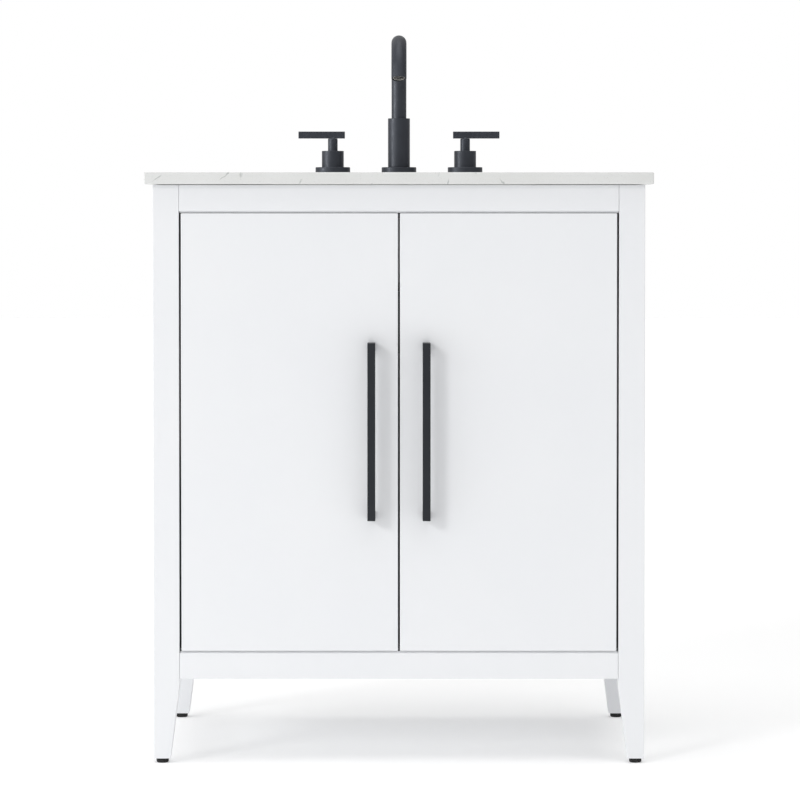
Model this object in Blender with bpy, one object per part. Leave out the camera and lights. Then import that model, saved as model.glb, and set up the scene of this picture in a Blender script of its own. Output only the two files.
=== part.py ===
"""A 762 mm bathroom vanity cabinet with two inset doors, a stone top, an undermount basin and a
three-hole tap.

Metres, +Z up. The origin is on the floor, at the middle of the whole object's plan. The doors
face -Y and the wall side faces +Y. Every piece is one object, and each moving group hangs on an
empty that stands on its joint's axis.
"""

import math

import bmesh
import bpy
from mathutils import Matrix, Vector

# Clearances
SEAT_GAP = 0.0003
SLIDE_GAP = 0.0004

# Stone top
TOP_WIDTH = 0.762
TOP_DEPTH = 0.483
TOP_THICKNESS = 0.018
TOP_HEIGHT = 0.889
TOP_SIDE_OVERHANG = 0.012
TOP_FRONT_OVERHANG = 0.013
TOP_EDGE = 0.0012

# Frame of the cabinet
LEG_SIZE = 0.039
LEG_FOOT_SIZE = 0.025
LEG_TAPER_HEIGHT = 0.110
RAIL_THICKNESS = 0.019
TOP_RAIL_HEIGHT = 0.040
BACK_TOP_RAIL_HEIGHT = 0.100
BOTTOM_RAIL_HEIGHT = 0.039
BOTTOM_RAIL_Z = 0.1275
FLOOR_THICKNESS = 0.015
FLOOR_RISE = 0.010
PANEL_THICKNESS = 0.009
PANEL_RECESS = 0.006
PANEL_TONGUE = 0.0075
WOOD_EDGE = 0.0008
HINGE_STRIP_DEPTH = 0.062
SERVICE_HOLE_WIDTH = 0.140
SERVICE_HOLE_SPACING = 0.060
SERVICE_HOLE_HEIGHT = 0.260
SERVICE_HOLE_Z = 0.400

# Levelling feet
FOOT_RADIUS = 0.0094
FOOT_TOE_RADIUS = 0.0082
FOOT_HEIGHT = 0.0067
FOOT_TOE_HEIGHT = 0.0018
FOOT_STEM_RADIUS = 0.0040
FOOT_STEM_LENGTH = 0.032
FOOT_STEM_HEADROOM = 0.0008

# Doors
DOOR_THICKNESS = 0.018
DOOR_GAP = 0.003
DOOR_EDGE = 0.0010
DOOR_STOP_GAP = 0.0013
DOOR_STOP_THICKNESS = 0.018
DOOR_STOP_HEIGHT = 0.030
DOOR_STOP_DROP = 0.010
PULL_SIZE = 0.0118
PULL_LENGTH = 0.2658
PULL_POST_HEIGHT = 0.0125
PULL_PROJECTION = 0.033
PULL_INSET = 0.0413
PULL_DROP = 0.3265
PULL_EDGE = 0.0006

# Concealed hinges: the cup sits in the door, the arm on the strip behind the front leg
HINGE_END_DISTANCE = 0.100
CUP_RADIUS = 0.0175
CUP_WALL = 0.0012
CUP_DEPTH = 0.0125
CUP_EDGE_DISTANCE = 0.005
CUP_RIM_RADIUS = 0.0190
CUP_RIM_THICKNESS = 0.0012
CUP_WING_REACH = 0.028
CUP_WING_WIDTH = 0.014
ARM_PLATE_THICKNESS = 0.0022
ARM_PLATE_WIDTH = 0.048
ARM_PLATE_START = 0.048
ARM_PLATE_LENGTH = 0.036
ARM_WIDTH = 0.018
ARM_SLOT_WIDTH = 0.0124
ARM_FLOOR = 0.009
ARM_BODY_HEIGHT = 0.0215
ARM_NOSE_HEIGHT = 0.0385
ARM_NOSE_LENGTH = 0.025
ARM_LENGTH = 0.074
ARM_DOOR_GAP = 0.0027
ARM_FRONT_RAKE = 0.004
ARM_BACK_RAKE = 0.002
ARM_CRANK_START = 0.006
ARM_CRANK_END = 0.008
ARM_SLOT_END = 0.008
LINK_WIDTH = 0.0110
LINK_THICKNESS = 0.0030
LINK_ELBOW = 0.0135
LINK_REACH = 0.058
LINK_REST_ANGLE = math.radians(18.5)
LINK_PIVOT_ACROSS = 0.0240
LINK_PIVOT_RISE = 0.0045

# Basin under the top
BOWL_WIDTH = 0.430
BOWL_DEPTH = 0.290
BOWL_CORNER = 0.050
BOWL_FRONT_MARGIN = 0.055
BOWL_HEIGHT = 0.140
BOWL_WALL = 0.010
BOWL_FLANGE = 0.018
BOWL_FLANGE_THICKNESS = 0.012
BOWL_REVEAL = 0.002
BOWL_BEND = 0.025
BOWL_BEND_HEEL = (0.00625, 0.0075)
BOWL_OUTER_BEND = 0.030
BOWL_OUTER_HEEL_IN = 0.0075
BOWL_OUTER_HEEL_DROP = 0.4
BOWL_SIDE_SLOPE = 0.020
BOWL_FLOOR_FALL = 0.006

# Drain
DRAIN_HOLE_RADIUS = 0.0225
DRAIN_FLANGE_RADIUS = 0.0310
DRAIN_FLANGE_THICKNESS = 0.0030
DRAIN_TUBE_RADIUS = 0.0190
DRAIN_TUBE_WALL = 0.0025
DRAIN_LENGTH = 0.115
DRAIN_SEAT_DEPTH = 0.006
DRAIN_SEAT_SLOPE = 0.002
DRAIN_LIP = 0.004
DRAIN_GUIDE_DROP = 0.030
DRAIN_GUIDE_HEIGHT = 0.010
DRAIN_GUIDE_BAR = 0.006
DRAIN_GUIDE_COLLAR = 0.002
DRAIN_NUT_RADIUS = 0.0300
DRAIN_NUT_HEIGHT = 0.010
DRAIN_GASKET_HEIGHT = 0.005
STOPPER_RADIUS = 0.0160
STOPPER_STEM_RADIUS = 0.0040
STOPPER_TRAVEL = 0.010
STOPPER_STEM_SPARE = 0.004
STOPPER_CROWN = 0.0022
STOPPER_CROWN_RADIUS = 0.0096
STOPPER_SHOULDER = 0.00176

# Tap: spout and two valves, 400 mm behind the doors' face
TAP_SETBACK = 0.400
TAP_SPREAD = 0.2140
TAP_HOLE_RADIUS = 0.0170
TAP_FLANGE_RADIUS = 0.0280
TAP_FLANGE_HEIGHT = 0.0125
TAP_FLANGE_EDGE = 0.0010
SHANK_RADIUS = 0.0135
SHANK_LENGTH = 0.045
SHANK_NUT_RADIUS = 0.0215
SHANK_NUT_HEIGHT = 0.008
SLEEVE_RADIUS = 0.0177
SLEEVE_HEIGHT = 0.0785
SLEEVE_SOCKET = 0.022
SPOUT_RADIUS = 0.0120
SPOUT_ARC_RADIUS = 0.0650
SPOUT_ARC_ANGLE = math.radians(160)
SPOUT_ARC_STEPS = 20
SPOUT_TOP = 0.2220
SPOUT_TIP = 0.018
AERATOR_RADIUS = 0.0098
AERATOR_HEIGHT = 0.008
AERATOR_RECESS = 0.0010
AERATOR_LIP = 0.0015
AERATOR_SLOPE = 0.0005
HUB_RADIUS = 0.0177
HUB_HEIGHT = 0.0260
HUB_WALL = 0.0025
STEM_RADIUS = 0.0078
STEM_HEIGHT = 0.0198
STEM_LAP = 0.0062
SPINDLE_RADIUS = 0.0040
LEVER_SIZE = 0.0112
LEVER_OUTER = 0.0555
LEVER_INNER = 0.0195
LEVER_EDGE = 0.0006

ROUND = 40
SMALL_ROUND = 24
SHANK_NUT_FLATS = 6
DRAIN_NUT_FLATS = 12

# Values worked out from the sizes above
CABINET_WIDTH = TOP_WIDTH - 2 * TOP_SIDE_OVERHANG
CABINET_DEPTH = TOP_DEPTH - TOP_FRONT_OVERHANG
SIDE_X = CABINET_WIDTH / 2
FRONT_Y = PULL_PROJECTION - (PULL_PROJECTION + CABINET_DEPTH) / 2
BACK_Y = FRONT_Y + CABINET_DEPTH
TOP_UNDERSIDE = TOP_HEIGHT - TOP_THICKNESS
FRAME_TOP = TOP_UNDERSIDE - SEAT_GAP
LEG_BOTTOM = FOOT_HEIGHT + SEAT_GAP
OPENING_X = SIDE_X - LEG_SIZE
OPENING_BOTTOM = BOTTOM_RAIL_Z + BOTTOM_RAIL_HEIGHT
OPENING_TOP = FRAME_TOP - TOP_RAIL_HEIGHT
FLOOR_TOP = OPENING_BOTTOM + FLOOR_RISE
BEHIND_DOORS_Y = FRONT_Y + max(RAIL_THICKNESS + SEAT_GAP, DOOR_THICKNESS + DOOR_STOP_GAP)
PANEL_OUTER = PANEL_RECESS + PANEL_THICKNESS
TAP_Y = FRONT_Y + TAP_SETBACK
BOWL_Y = FRONT_Y + BOWL_FRONT_MARGIN + BOWL_DEPTH / 2
BOWL_RIM_Z = TOP_UNDERSIDE - SEAT_GAP
BOWL_FLOOR_Z = BOWL_RIM_Z - BOWL_HEIGHT
DRAIN_SEAT_Z = BOWL_FLOOR_Z - BOWL_FLOOR_FALL
HINGE_AXIS_X = OPENING_X - DOOR_GAP / 2
DOOR_WIDTH = OPENING_X - 1.5 * DOOR_GAP
DOOR_BOTTOM = OPENING_BOTTOM + DOOR_GAP
DOOR_TOP = OPENING_TOP - DOOR_GAP
DOOR_MIDDLE = (DOOR_BOTTOM + DOOR_TOP) / 2
PULL_Z = DOOR_TOP - PULL_DROP
CUP_ACROSS = DOOR_GAP + CUP_EDGE_DISTANCE + CUP_RADIUS
ARM_START = DOOR_THICKNESS + ARM_DOOR_GAP
LINK_PIVOT_DEPTH = DOOR_THICKNESS - CUP_DEPTH + LINK_PIVOT_RISE

SIDES = {"left": -1, "right": 1}


def clear_scene():
    for obj in list(bpy.data.objects):
        bpy.data.objects.remove(obj, do_unlink=True)


def finish(name, color, roughness, metallic=0.0):
    """A Principled material."""
    material = bpy.data.materials.new(name)
    material.use_nodes = True
    shader = material.node_tree.nodes["Principled BSDF"]
    shader.inputs["Base Color"].default_value = (*color, 1.0)
    shader.inputs["Roughness"].default_value = roughness
    shader.inputs["Metallic"].default_value = metallic
    return material


def add_object(name, bm, material, place=(0, 0, 0), smooth=False):
    """Turns a bmesh, drawn around its own origin, into an object at its place."""
    bmesh.ops.recalc_face_normals(bm, faces=bm.faces)
    mesh = bpy.data.meshes.new(name)
    bm.to_mesh(mesh)
    bm.free()
    if smooth:
        mesh.shade_smooth()
        mesh.set_sharp_from_angle(angle=math.radians(35))
    mesh.materials.append(material)
    obj = bpy.data.objects.new(name, mesh)
    obj.location = place
    bpy.context.scene.collection.objects.link(obj)
    return obj


def box_bmesh(low, high):
    bm = bmesh.new()
    bmesh.ops.create_cube(bm, size=1)
    size = Vector(high) - Vector(low)
    middle = (Vector(high) + Vector(low)) / 2
    bmesh.ops.transform(bm, matrix=Matrix.Translation(middle) @ Matrix.Diagonal((*size, 1)), verts=bm.verts)
    return bm


def add_box(name, low, high, material, place=(0, 0, 0)):
    return add_object(name, box_bmesh(low, high), material, place)


def ease_edges(obj, width, segments=1):
    """Breaks the sharp edges with a small bevel."""
    bevel = obj.modifiers.new("eased_edges", "BEVEL")
    bevel.width = width
    bevel.segments = segments
    bevel.limit_method = "ANGLE"
    return obj


def prism_bmesh(outline, low, high):
    """An outline in X and Y, raised from low to high along Z."""
    bm = bmesh.new()
    face = bm.faces.new([bm.verts.new((x, y, low)) for x, y in outline])
    raised = bmesh.ops.extrude_face_region(bm, geom=[face])["geom"]
    moved = [item for item in raised if isinstance(item, bmesh.types.BMVert)]
    bmesh.ops.translate(bm, vec=(0, 0, high - low), verts=moved)
    return bm


def turned_bmesh(profile, steps=ROUND, closed=False):
    """A profile of radius and height points, spun about Z. A closed profile makes a ring."""
    bm = bmesh.new()
    verts = [bm.verts.new((radius, 0, height)) for radius, height in profile]
    pairs = list(zip(verts, verts[1:]))
    if closed:
        pairs.append((verts[-1], verts[0]))
    edges = [bm.edges.new(pair) for pair in pairs]
    bmesh.ops.spin(
        bm,
        geom=verts + edges,
        cent=(0, 0, 0),
        axis=(0, 0, 1),
        angle=2 * math.pi,
        steps=steps,
        use_merge=True,
    )
    bmesh.ops.remove_doubles(bm, verts=bm.verts, dist=1e-5)
    return bm


def add_turned(name, profile, material, place, steps=ROUND, closed=False):
    return add_object(name, turned_bmesh(profile, steps, closed), material, place, smooth=True)


def hide_helper(obj):
    obj.hide_render = True
    obj.display_type = "WIRE"
    return obj


def change(obj, helper, operation="DIFFERENCE"):
    """Cuts a helper from an object, or joins it on."""
    boolean = obj.modifiers.new(helper.name, "BOOLEAN")
    boolean.object = helper
    boolean.operation = operation
    boolean.solver = "EXACT"


def add_axis(name, place):
    """An empty on a joint's axis, for a moving group to hang on."""
    axis = bpy.data.objects.new(name, None)
    axis.location = place
    axis.empty_display_size = 0.02
    bpy.context.scene.collection.objects.link(axis)
    return axis


def hang(axis, *pieces):
    for piece in pieces:
        piece.parent = axis
        piece.location = Vector(piece.location) - Vector(axis.location)


def add_leg(name, x_side, y_side, material):
    """A square post with its outer corner at the origin, tapered on its two inner faces below."""
    bm = box_bmesh((0, 0, LEG_BOTTOM), (LEG_SIZE, LEG_SIZE, FRAME_TOP))
    taper_z = LEG_BOTTOM + LEG_TAPER_HEIGHT
    bmesh.ops.bisect_plane(bm, geom=list(bm.verts) + list(bm.edges) + list(bm.faces),
                           plane_co=(0, 0, taper_z), plane_no=(0, 0, 1))
    for vert in bm.verts:
        if vert.co.z < taper_z - SEAT_GAP:
            vert.co.x = min(vert.co.x, LEG_FOOT_SIZE)
            vert.co.y = min(vert.co.y, LEG_FOOT_SIZE)
    bmesh.ops.scale(bm, vec=(-x_side, -y_side, 1), verts=bm.verts)
    corner_y = FRONT_Y if y_side < 0 else BACK_Y
    leg = add_object(name, bm, material, (x_side * SIDE_X, corner_y, 0))
    return ease_edges(leg, WOOD_EDGE)


def add_foot(end, side, leg, x_side, y_side, rubber, brass):
    """A levelling foot: a pad on a stem that turns up into the leg."""
    reach = LEG_FOOT_SIZE / 2
    corner_y = FRONT_Y if y_side < 0 else BACK_Y
    place = (x_side * (SIDE_X - reach), corner_y - y_side * reach, 0)
    stem_top = FOOT_HEIGHT + FOOT_STEM_LENGTH
    profile = [
        (0, 0),
        (FOOT_TOE_RADIUS, 0),
        (FOOT_RADIUS, FOOT_TOE_HEIGHT),
        (FOOT_RADIUS, FOOT_HEIGHT),
        (FOOT_STEM_RADIUS, FOOT_HEIGHT),
        (FOOT_STEM_RADIUS, stem_top),
        (0, stem_top),
    ]
    foot = add_turned(f"foot_{end}_{side}", profile, rubber, place, SMALL_ROUND)
    hang(add_axis(f"foot_{end}_{side}_axis", place), foot)
    hole = rod_profile(FOOT_STEM_RADIUS + SLIDE_GAP, 0, stem_top + FOOT_STEM_HEADROOM)
    change(leg, hide_helper(add_turned(f"cut_foot_{end}_{side}", hole, brass, place, SMALL_ROUND)))


def add_frame(white):
    """The four legs and the rails between them. Gives back every piece by name."""
    pieces = {}
    for side, x_side in SIDES.items():
        for end, y_side in (("front", -1), ("back", 1)):
            name = f"leg_{end}_{side}"
            pieces[name] = add_leg(name, x_side, y_side, white)
    inner = OPENING_X - SEAT_GAP
    rails = {
        "rail_front_top": (FRONT_Y, FRONT_Y + RAIL_THICKNESS, OPENING_TOP, FRAME_TOP),
        "rail_front_bottom": (FRONT_Y, FRONT_Y + RAIL_THICKNESS, BOTTOM_RAIL_Z, OPENING_BOTTOM),
        "rail_back_top": (BACK_Y - RAIL_THICKNESS, BACK_Y, FRAME_TOP - BACK_TOP_RAIL_HEIGHT, FRAME_TOP),
        "rail_back_bottom": (BACK_Y - RAIL_THICKNESS, BACK_Y, BOTTOM_RAIL_Z, OPENING_BOTTOM),
    }
    for name, (y_low, y_high, z_low, z_high) in rails.items():
        rail = add_box(name, (-inner, y_low, z_low), (inner, y_high, z_high), white)
        pieces[name] = ease_edges(rail, WOOD_EDGE)
    y_low = FRONT_Y + LEG_SIZE + SEAT_GAP
    y_high = BACK_Y - LEG_SIZE - SEAT_GAP
    levels = {"top": (OPENING_TOP, FRAME_TOP), "bottom": (BOTTOM_RAIL_Z, OPENING_BOTTOM)}
    for side, x_side in SIDES.items():
        for level, (z_low, z_high) in levels.items():
            x_ends = sorted((x_side * SIDE_X, x_side * (SIDE_X - RAIL_THICKNESS)))
            name = f"side_rail_{level}_{side}"
            rail = add_box(name, (x_ends[0], y_low, z_low), (x_ends[1], y_high, z_high), white)
            pieces[name] = ease_edges(rail, WOOD_EDGE)
    return pieces


def add_grooved_panel(name, low, high, holders, material):
    """A thin panel and the groove that it leaves in every piece that holds it."""
    panel = add_box(name, low, high, material)
    grown = Vector((SEAT_GAP, SEAT_GAP, SEAT_GAP))
    groove = hide_helper(add_box(f"cut_{name}", Vector(low) - grown, Vector(high) + grown, material))
    for holder in holders:
        change(holder, groove)
    return panel


def add_panels(pieces, white):
    """Side and back panels in their grooves, the floor, and the strips that carry the hinges."""
    y_low = FRONT_Y + LEG_SIZE - PANEL_TONGUE
    y_high = BACK_Y - LEG_SIZE + PANEL_TONGUE
    z_low = OPENING_BOTTOM - PANEL_TONGUE
    z_high = OPENING_TOP + PANEL_TONGUE
    for side, x_side in SIDES.items():
        x_ends = sorted((x_side * (SIDE_X - PANEL_RECESS), x_side * (SIDE_X - PANEL_OUTER)))
        names = (f"leg_front_{side}", f"leg_back_{side}",
                 f"side_rail_top_{side}", f"side_rail_bottom_{side}")
        add_grooved_panel(f"side_panel_{side}", (x_ends[0], y_low, z_low), (x_ends[1], y_high, z_high),
                          [pieces[holder] for holder in names], white)
    reach = OPENING_X + PANEL_TONGUE
    names = ("leg_back_left", "leg_back_right", "rail_back_top", "rail_back_bottom")
    back_top = FRAME_TOP - BACK_TOP_RAIL_HEIGHT + PANEL_TONGUE
    back = add_grooved_panel("back_panel", (-reach, BACK_Y - PANEL_OUTER, z_low),
                             (reach, BACK_Y - PANEL_RECESS, back_top),
                             [pieces[holder] for holder in names], white)
    for side, x_side in SIDES.items():
        near = SERVICE_HOLE_SPACING / 2
        x_ends = sorted((x_side * near, x_side * (near + SERVICE_HOLE_WIDTH)))
        hole = add_box(f"cut_service_hole_{side}", (x_ends[0], BACK_Y - 2 * PANEL_OUTER, SERVICE_HOLE_Z),
                       (x_ends[1], BACK_Y + PANEL_OUTER, SERVICE_HOLE_Z + SERVICE_HOLE_HEIGHT), white)
        change(back, hide_helper(hole))
        x_ends = sorted((x_side * OPENING_X, x_side * (SIDE_X - PANEL_OUTER - SEAT_GAP)))
        y_start = FRONT_Y + LEG_SIZE + SEAT_GAP
        add_box(f"hinge_strip_{side}", (x_ends[0], y_start, FLOOR_TOP + SEAT_GAP),
                (x_ends[1], y_start + HINGE_STRIP_DEPTH, OPENING_TOP - SEAT_GAP), white)


def add_door_stop(white):
    """The strip behind the front top rail that both doors close against."""
    reach = OPENING_X - SEAT_GAP
    low = OPENING_TOP - DOOR_STOP_DROP
    stop = add_box("door_stop", (-reach, BEHIND_DOORS_Y, low),
                   (reach, BEHIND_DOORS_Y + DOOR_STOP_THICKNESS, low + DOOR_STOP_HEIGHT), white)
    ease_edges(stop, WOOD_EDGE)


def add_floor(white):
    """The cabinet's floor, notched round the legs. Its front edge stops the doors from below."""
    x_out = SIDE_X - RAIL_THICKNESS - SEAT_GAP
    x_in = OPENING_X - SEAT_GAP
    y_front = BEHIND_DOORS_Y
    y_back = BACK_Y - RAIL_THICKNESS - SEAT_GAP
    y_front_in = FRONT_Y + LEG_SIZE + SEAT_GAP
    y_back_in = BACK_Y - LEG_SIZE - SEAT_GAP
    right = [(x_in, y_front), (x_in, y_front_in), (x_out, y_front_in),
             (x_out, y_back_in), (x_in, y_back_in), (x_in, y_back)]
    left = [(-x, y) for x, y in reversed(right)]
    bm = prism_bmesh(right + left, FLOOR_TOP - FLOOR_THICKNESS, FLOOR_TOP)
    add_object("floor_panel", bm, white)


def rounded_ring(half_x, half_y, corner):
    """Points round a rectangle with round corners, starting on the +X side. A full corner is a circle."""
    count = ROUND // 4
    ring = []
    for quarter in range(4):
        x_sign = 1 if quarter in (0, 3) else -1
        y_sign = 1 if quarter in (0, 1) else -1
        for step in range(count + 1):
            angle = math.pi / 2 * (quarter + step / count)
            x = x_sign * (half_x - corner) + corner * math.cos(angle)
            y = y_sign * (half_y - corner) + corner * math.sin(angle)
            ring.append((x, y))
    return ring


def add_top(stone):
    """The stone top with its basin cut-out and three tap holes."""
    low = (-TOP_WIDTH / 2, FRONT_Y - TOP_FRONT_OVERHANG, TOP_UNDERSIDE)
    high = (TOP_WIDTH / 2, FRONT_Y - TOP_FRONT_OVERHANG + TOP_DEPTH, TOP_HEIGHT)
    top = ease_edges(add_box("countertop", low, high, stone), TOP_EDGE)
    ring = rounded_ring(BOWL_WIDTH / 2, BOWL_DEPTH / 2, BOWL_CORNER)
    bm = prism_bmesh(ring, TOP_UNDERSIDE - TOP_THICKNESS, TOP_HEIGHT + TOP_THICKNESS)
    change(top, hide_helper(add_object("cut_bowl", bm, stone, (0, BOWL_Y, 0))))
    profile = rod_profile(TAP_HOLE_RADIUS, TOP_UNDERSIDE - TOP_THICKNESS, TOP_HEIGHT + TOP_THICKNESS)
    for name, x in (("left", -TAP_SPREAD / 2), ("middle", 0), ("right", TAP_SPREAD / 2)):
        hole = add_turned(f"cut_tap_{name}", profile, stone, (x, TAP_Y, 0), SMALL_ROUND)
        change(top, hide_helper(hole))


def add_basin(ceramic):
    """The bowl: rings from the drain hole up the inside, over the rim and down the outside."""
    inner_x = BOWL_WIDTH / 2 + BOWL_REVEAL
    inner_y = BOWL_DEPTH / 2 + BOWL_REVEAL
    corner = BOWL_CORNER + BOWL_REVEAL
    floor_x = inner_x - BOWL_SIDE_SLOPE
    floor_y = inner_y - BOWL_SIDE_SLOPE
    hole = DRAIN_HOLE_RADIUS
    seat = DRAIN_FLANGE_RADIUS + 2 * SLIDE_GAP
    seat_z = DRAIN_SEAT_Z - DRAIN_FLANGE_THICKNESS
    under = seat_z - BOWL_WALL
    flange_z = BOWL_RIM_Z - BOWL_FLANGE_THICKNESS
    wall = BOWL_WALL
    bend = BOWL_BEND
    heel_in, heel_up = BOWL_BEND_HEEL
    outer_x = floor_x + wall
    outer_y = floor_y + wall
    outer_bend = BOWL_OUTER_BEND
    outer_heel = BOWL_OUTER_HEEL_IN
    outer_heel_z = BOWL_FLOOR_Z - wall * BOWL_OUTER_HEEL_DROP
    rings = [
        (hole, hole, hole, seat_z),
        (seat, seat, seat, seat_z),
        (seat, seat, seat, DRAIN_SEAT_Z),
        (floor_x - bend, floor_y - bend, corner, BOWL_FLOOR_Z),
        (floor_x - heel_in, floor_y - heel_in, corner, BOWL_FLOOR_Z + heel_up),
        (floor_x, floor_y, corner, BOWL_FLOOR_Z + bend),
        (inner_x, inner_y, corner, BOWL_RIM_Z),
        (inner_x + BOWL_FLANGE, inner_y + BOWL_FLANGE, corner, BOWL_RIM_Z),
        (inner_x + BOWL_FLANGE, inner_y + BOWL_FLANGE, corner, flange_z),
        (inner_x + wall, inner_y + wall, corner, flange_z),
        (outer_x, outer_y, corner, BOWL_FLOOR_Z + bend),
        (outer_x - outer_heel, outer_y - outer_heel, corner, outer_heel_z),
        (outer_x - outer_bend, outer_y - outer_bend, corner, BOWL_FLOOR_Z - wall),
        (seat + wall, seat + wall, seat + wall, under),
        (hole, hole, hole, under),
    ]
    bm = bmesh.new()
    loops = []
    for half_x, half_y, radius, z in rings:
        verts = [bm.verts.new((x, y, z)) for x, y in rounded_ring(half_x, half_y, radius)]
        loops.append(verts)
    for lower, upper in zip(loops, loops[1:] + loops[:1]):
        for index in range(len(lower)):
            after = (index + 1) % len(lower)
            bm.faces.new((lower[index], lower[after], upper[after], upper[index]))
    bmesh.ops.remove_doubles(bm, verts=bm.verts, dist=1e-5)
    add_object("basin", bm, ceramic, (0, BOWL_Y, 0), smooth=True)
    return under


def add_drain(under, black, rubber):
    """Flanged tube through the bowl, sealed and clamped from below, with a lift-up stopper."""
    flange_top = DRAIN_SEAT_Z
    flange_low = DRAIN_SEAT_Z - DRAIN_FLANGE_THICKNESS + SEAT_GAP
    bore = DRAIN_TUBE_RADIUS - DRAIN_TUBE_WALL
    mouth = STOPPER_RADIUS + 2 * SLIDE_GAP
    seat_z = flange_top - DRAIN_SEAT_DEPTH
    guide_z = flange_top - DRAIN_GUIDE_DROP
    end = flange_top - DRAIN_LENGTH
    place = (0, BOWL_Y, 0)
    drain = add_turned("drain_body", [
        (mouth + DRAIN_LIP, flange_top),
        (DRAIN_FLANGE_RADIUS, flange_top - SEAT_GAP),
        (DRAIN_FLANGE_RADIUS, flange_low),
        (DRAIN_TUBE_RADIUS, flange_low),
        (DRAIN_TUBE_RADIUS, end),
        (bore, end),
        (bore, seat_z - DRAIN_SEAT_SLOPE),
        (mouth, seat_z),
    ], black, place, closed=True)
    add_drain_guide(drain, bore, guide_z, place, black)
    tube = DRAIN_TUBE_RADIUS + SEAT_GAP
    gasket_top = under - SEAT_GAP
    gasket_low = gasket_top - DRAIN_GASKET_HEIGHT
    nut_top = gasket_low - SEAT_GAP
    nut_low = nut_top - DRAIN_NUT_HEIGHT
    radius = DRAIN_NUT_RADIUS
    add_ring("drain_gasket", tube, radius, gasket_low, gasket_top, rubber, place, ROUND)
    add_ring("drain_nut", tube, radius, nut_low, nut_top, black, place, DRAIN_NUT_FLATS)
    cap_low = seat_z + SEAT_GAP
    cap_edge = flange_top
    stem_low = guide_z - DRAIN_GUIDE_HEIGHT - STOPPER_TRAVEL - STOPPER_STEM_SPARE
    stopper = add_turned("drain_stopper", [
        (0, cap_edge + STOPPER_CROWN),
        (STOPPER_CROWN_RADIUS, cap_edge + STOPPER_SHOULDER),
        (STOPPER_RADIUS, cap_edge),
        (STOPPER_RADIUS, cap_low + DRAIN_SEAT_SLOPE),
        (STOPPER_RADIUS - DRAIN_LIP, cap_low),
        (STOPPER_STEM_RADIUS, cap_low),
        (STOPPER_STEM_RADIUS, stem_low),
        (0, stem_low),
    ], black, place)
    hang(add_axis("stopper_axis", (0, BOWL_Y, flange_top)), stopper)


def add_drain_guide(drain, bore, guide_z, place, black):
    """A bar across the tube with a drilled hub, which the stopper's stem slides in."""
    half = STOPPER_STEM_RADIUS / 2
    reach = bore + DRAIN_TUBE_WALL / 2
    bar = add_box("join_guide_bar", (-reach, -half, guide_z - DRAIN_GUIDE_BAR),
                  (reach, half, guide_z), black, place)
    change(drain, hide_helper(bar), "UNION")
    low = guide_z - DRAIN_GUIDE_HEIGHT
    high = guide_z + DRAIN_GUIDE_COLLAR
    radius = STOPPER_STEM_RADIUS + DRAIN_TUBE_WALL
    hub = add_turned("join_guide_hub", rod_profile(radius, low, high), black, place, SMALL_ROUND)
    change(drain, hide_helper(hub), "UNION")
    radius = STOPPER_STEM_RADIUS + SLIDE_GAP
    profile = rod_profile(radius, 2 * low - high, 2 * high - low)
    hole = add_turned("cut_guide", profile, black, place, SMALL_ROUND)
    change(drain, hide_helper(hole))


def rod_profile(radius, low, high):
    """The half section of a plain rod, for turning."""
    return [(0, low), (radius, low), (radius, high), (0, high)]


def add_ring(name, hole, radius, low, high, material, place, outside_steps):
    """A ring with a round hole. Few outside steps make the flats of a nut."""
    if outside_steps == ROUND:
        section = [(hole, low), (radius, low), (radius, high), (hole, high)]
        return add_turned(name, section, material, place, closed=True)
    ring = add_object(name, turned_bmesh(rod_profile(radius, low, high), outside_steps), material, place)
    core = add_turned(f"cut_{name}", rod_profile(hole, 2 * low - high, 2 * high - low), material, place)
    change(ring, hide_helper(core))
    return ring


def add_tap_flange(name, place, black):
    """The round plate that covers a tap hole."""
    hole = SHANK_RADIUS + SEAT_GAP
    base = TOP_HEIGHT + SEAT_GAP
    crown = TOP_HEIGHT + TAP_FLANGE_HEIGHT
    profile = [
        (hole, base),
        (TAP_FLANGE_RADIUS, base),
        (TAP_FLANGE_RADIUS, crown - TAP_FLANGE_EDGE),
        (TAP_FLANGE_RADIUS - TAP_FLANGE_EDGE, crown),
        (hole, crown),
    ]
    add_turned(name, profile, black, place, closed=True)


def add_shank_nut(name, place, brass):
    """The six-sided nut that clamps a shank under the stone."""
    top = TOP_UNDERSIDE - SEAT_GAP
    hole = SHANK_RADIUS + SEAT_GAP
    add_ring(name, hole, SHANK_NUT_RADIUS, top - SHANK_NUT_HEIGHT, top, brass, place, SHANK_NUT_FLATS)


def add_spout(black, brass, steel):
    """Fixed sleeve with its shank, and the arched tube that turns in it."""
    place = (0, TAP_Y, 0)
    add_tap_flange("spout_flange", place, black)
    add_shank_nut("spout_nut", place, brass)
    base = TOP_HEIGHT + TAP_FLANGE_HEIGHT + SEAT_GAP
    crown = base + SLEEVE_HEIGHT
    socket = SPOUT_RADIUS + SLIDE_GAP
    add_turned("spout_sleeve", [
        (0, TOP_UNDERSIDE - SHANK_LENGTH),
        (SHANK_RADIUS, TOP_UNDERSIDE - SHANK_LENGTH),
        (SHANK_RADIUS, base),
        (SLEEVE_RADIUS, base),
        (SLEEVE_RADIUS, crown - TAP_FLANGE_EDGE),
        (SLEEVE_RADIUS - TAP_FLANGE_EDGE, crown),
        (socket, crown),
        (socket, crown - SLEEVE_SOCKET),
        (0, crown - SLEEVE_SOCKET),
    ], black, place)
    start = crown - SLEEVE_SOCKET + SEAT_GAP - TOP_HEIGHT
    tube = add_object("spout_tube", spout_bmesh(start), black, (0, TAP_Y, TOP_HEIGHT), smooth=True)
    aerator = add_aerator(tube, steel, black)
    hang(add_axis("spout_axis", (0, TAP_Y, TOP_HEIGHT)), tube, aerator)


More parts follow.
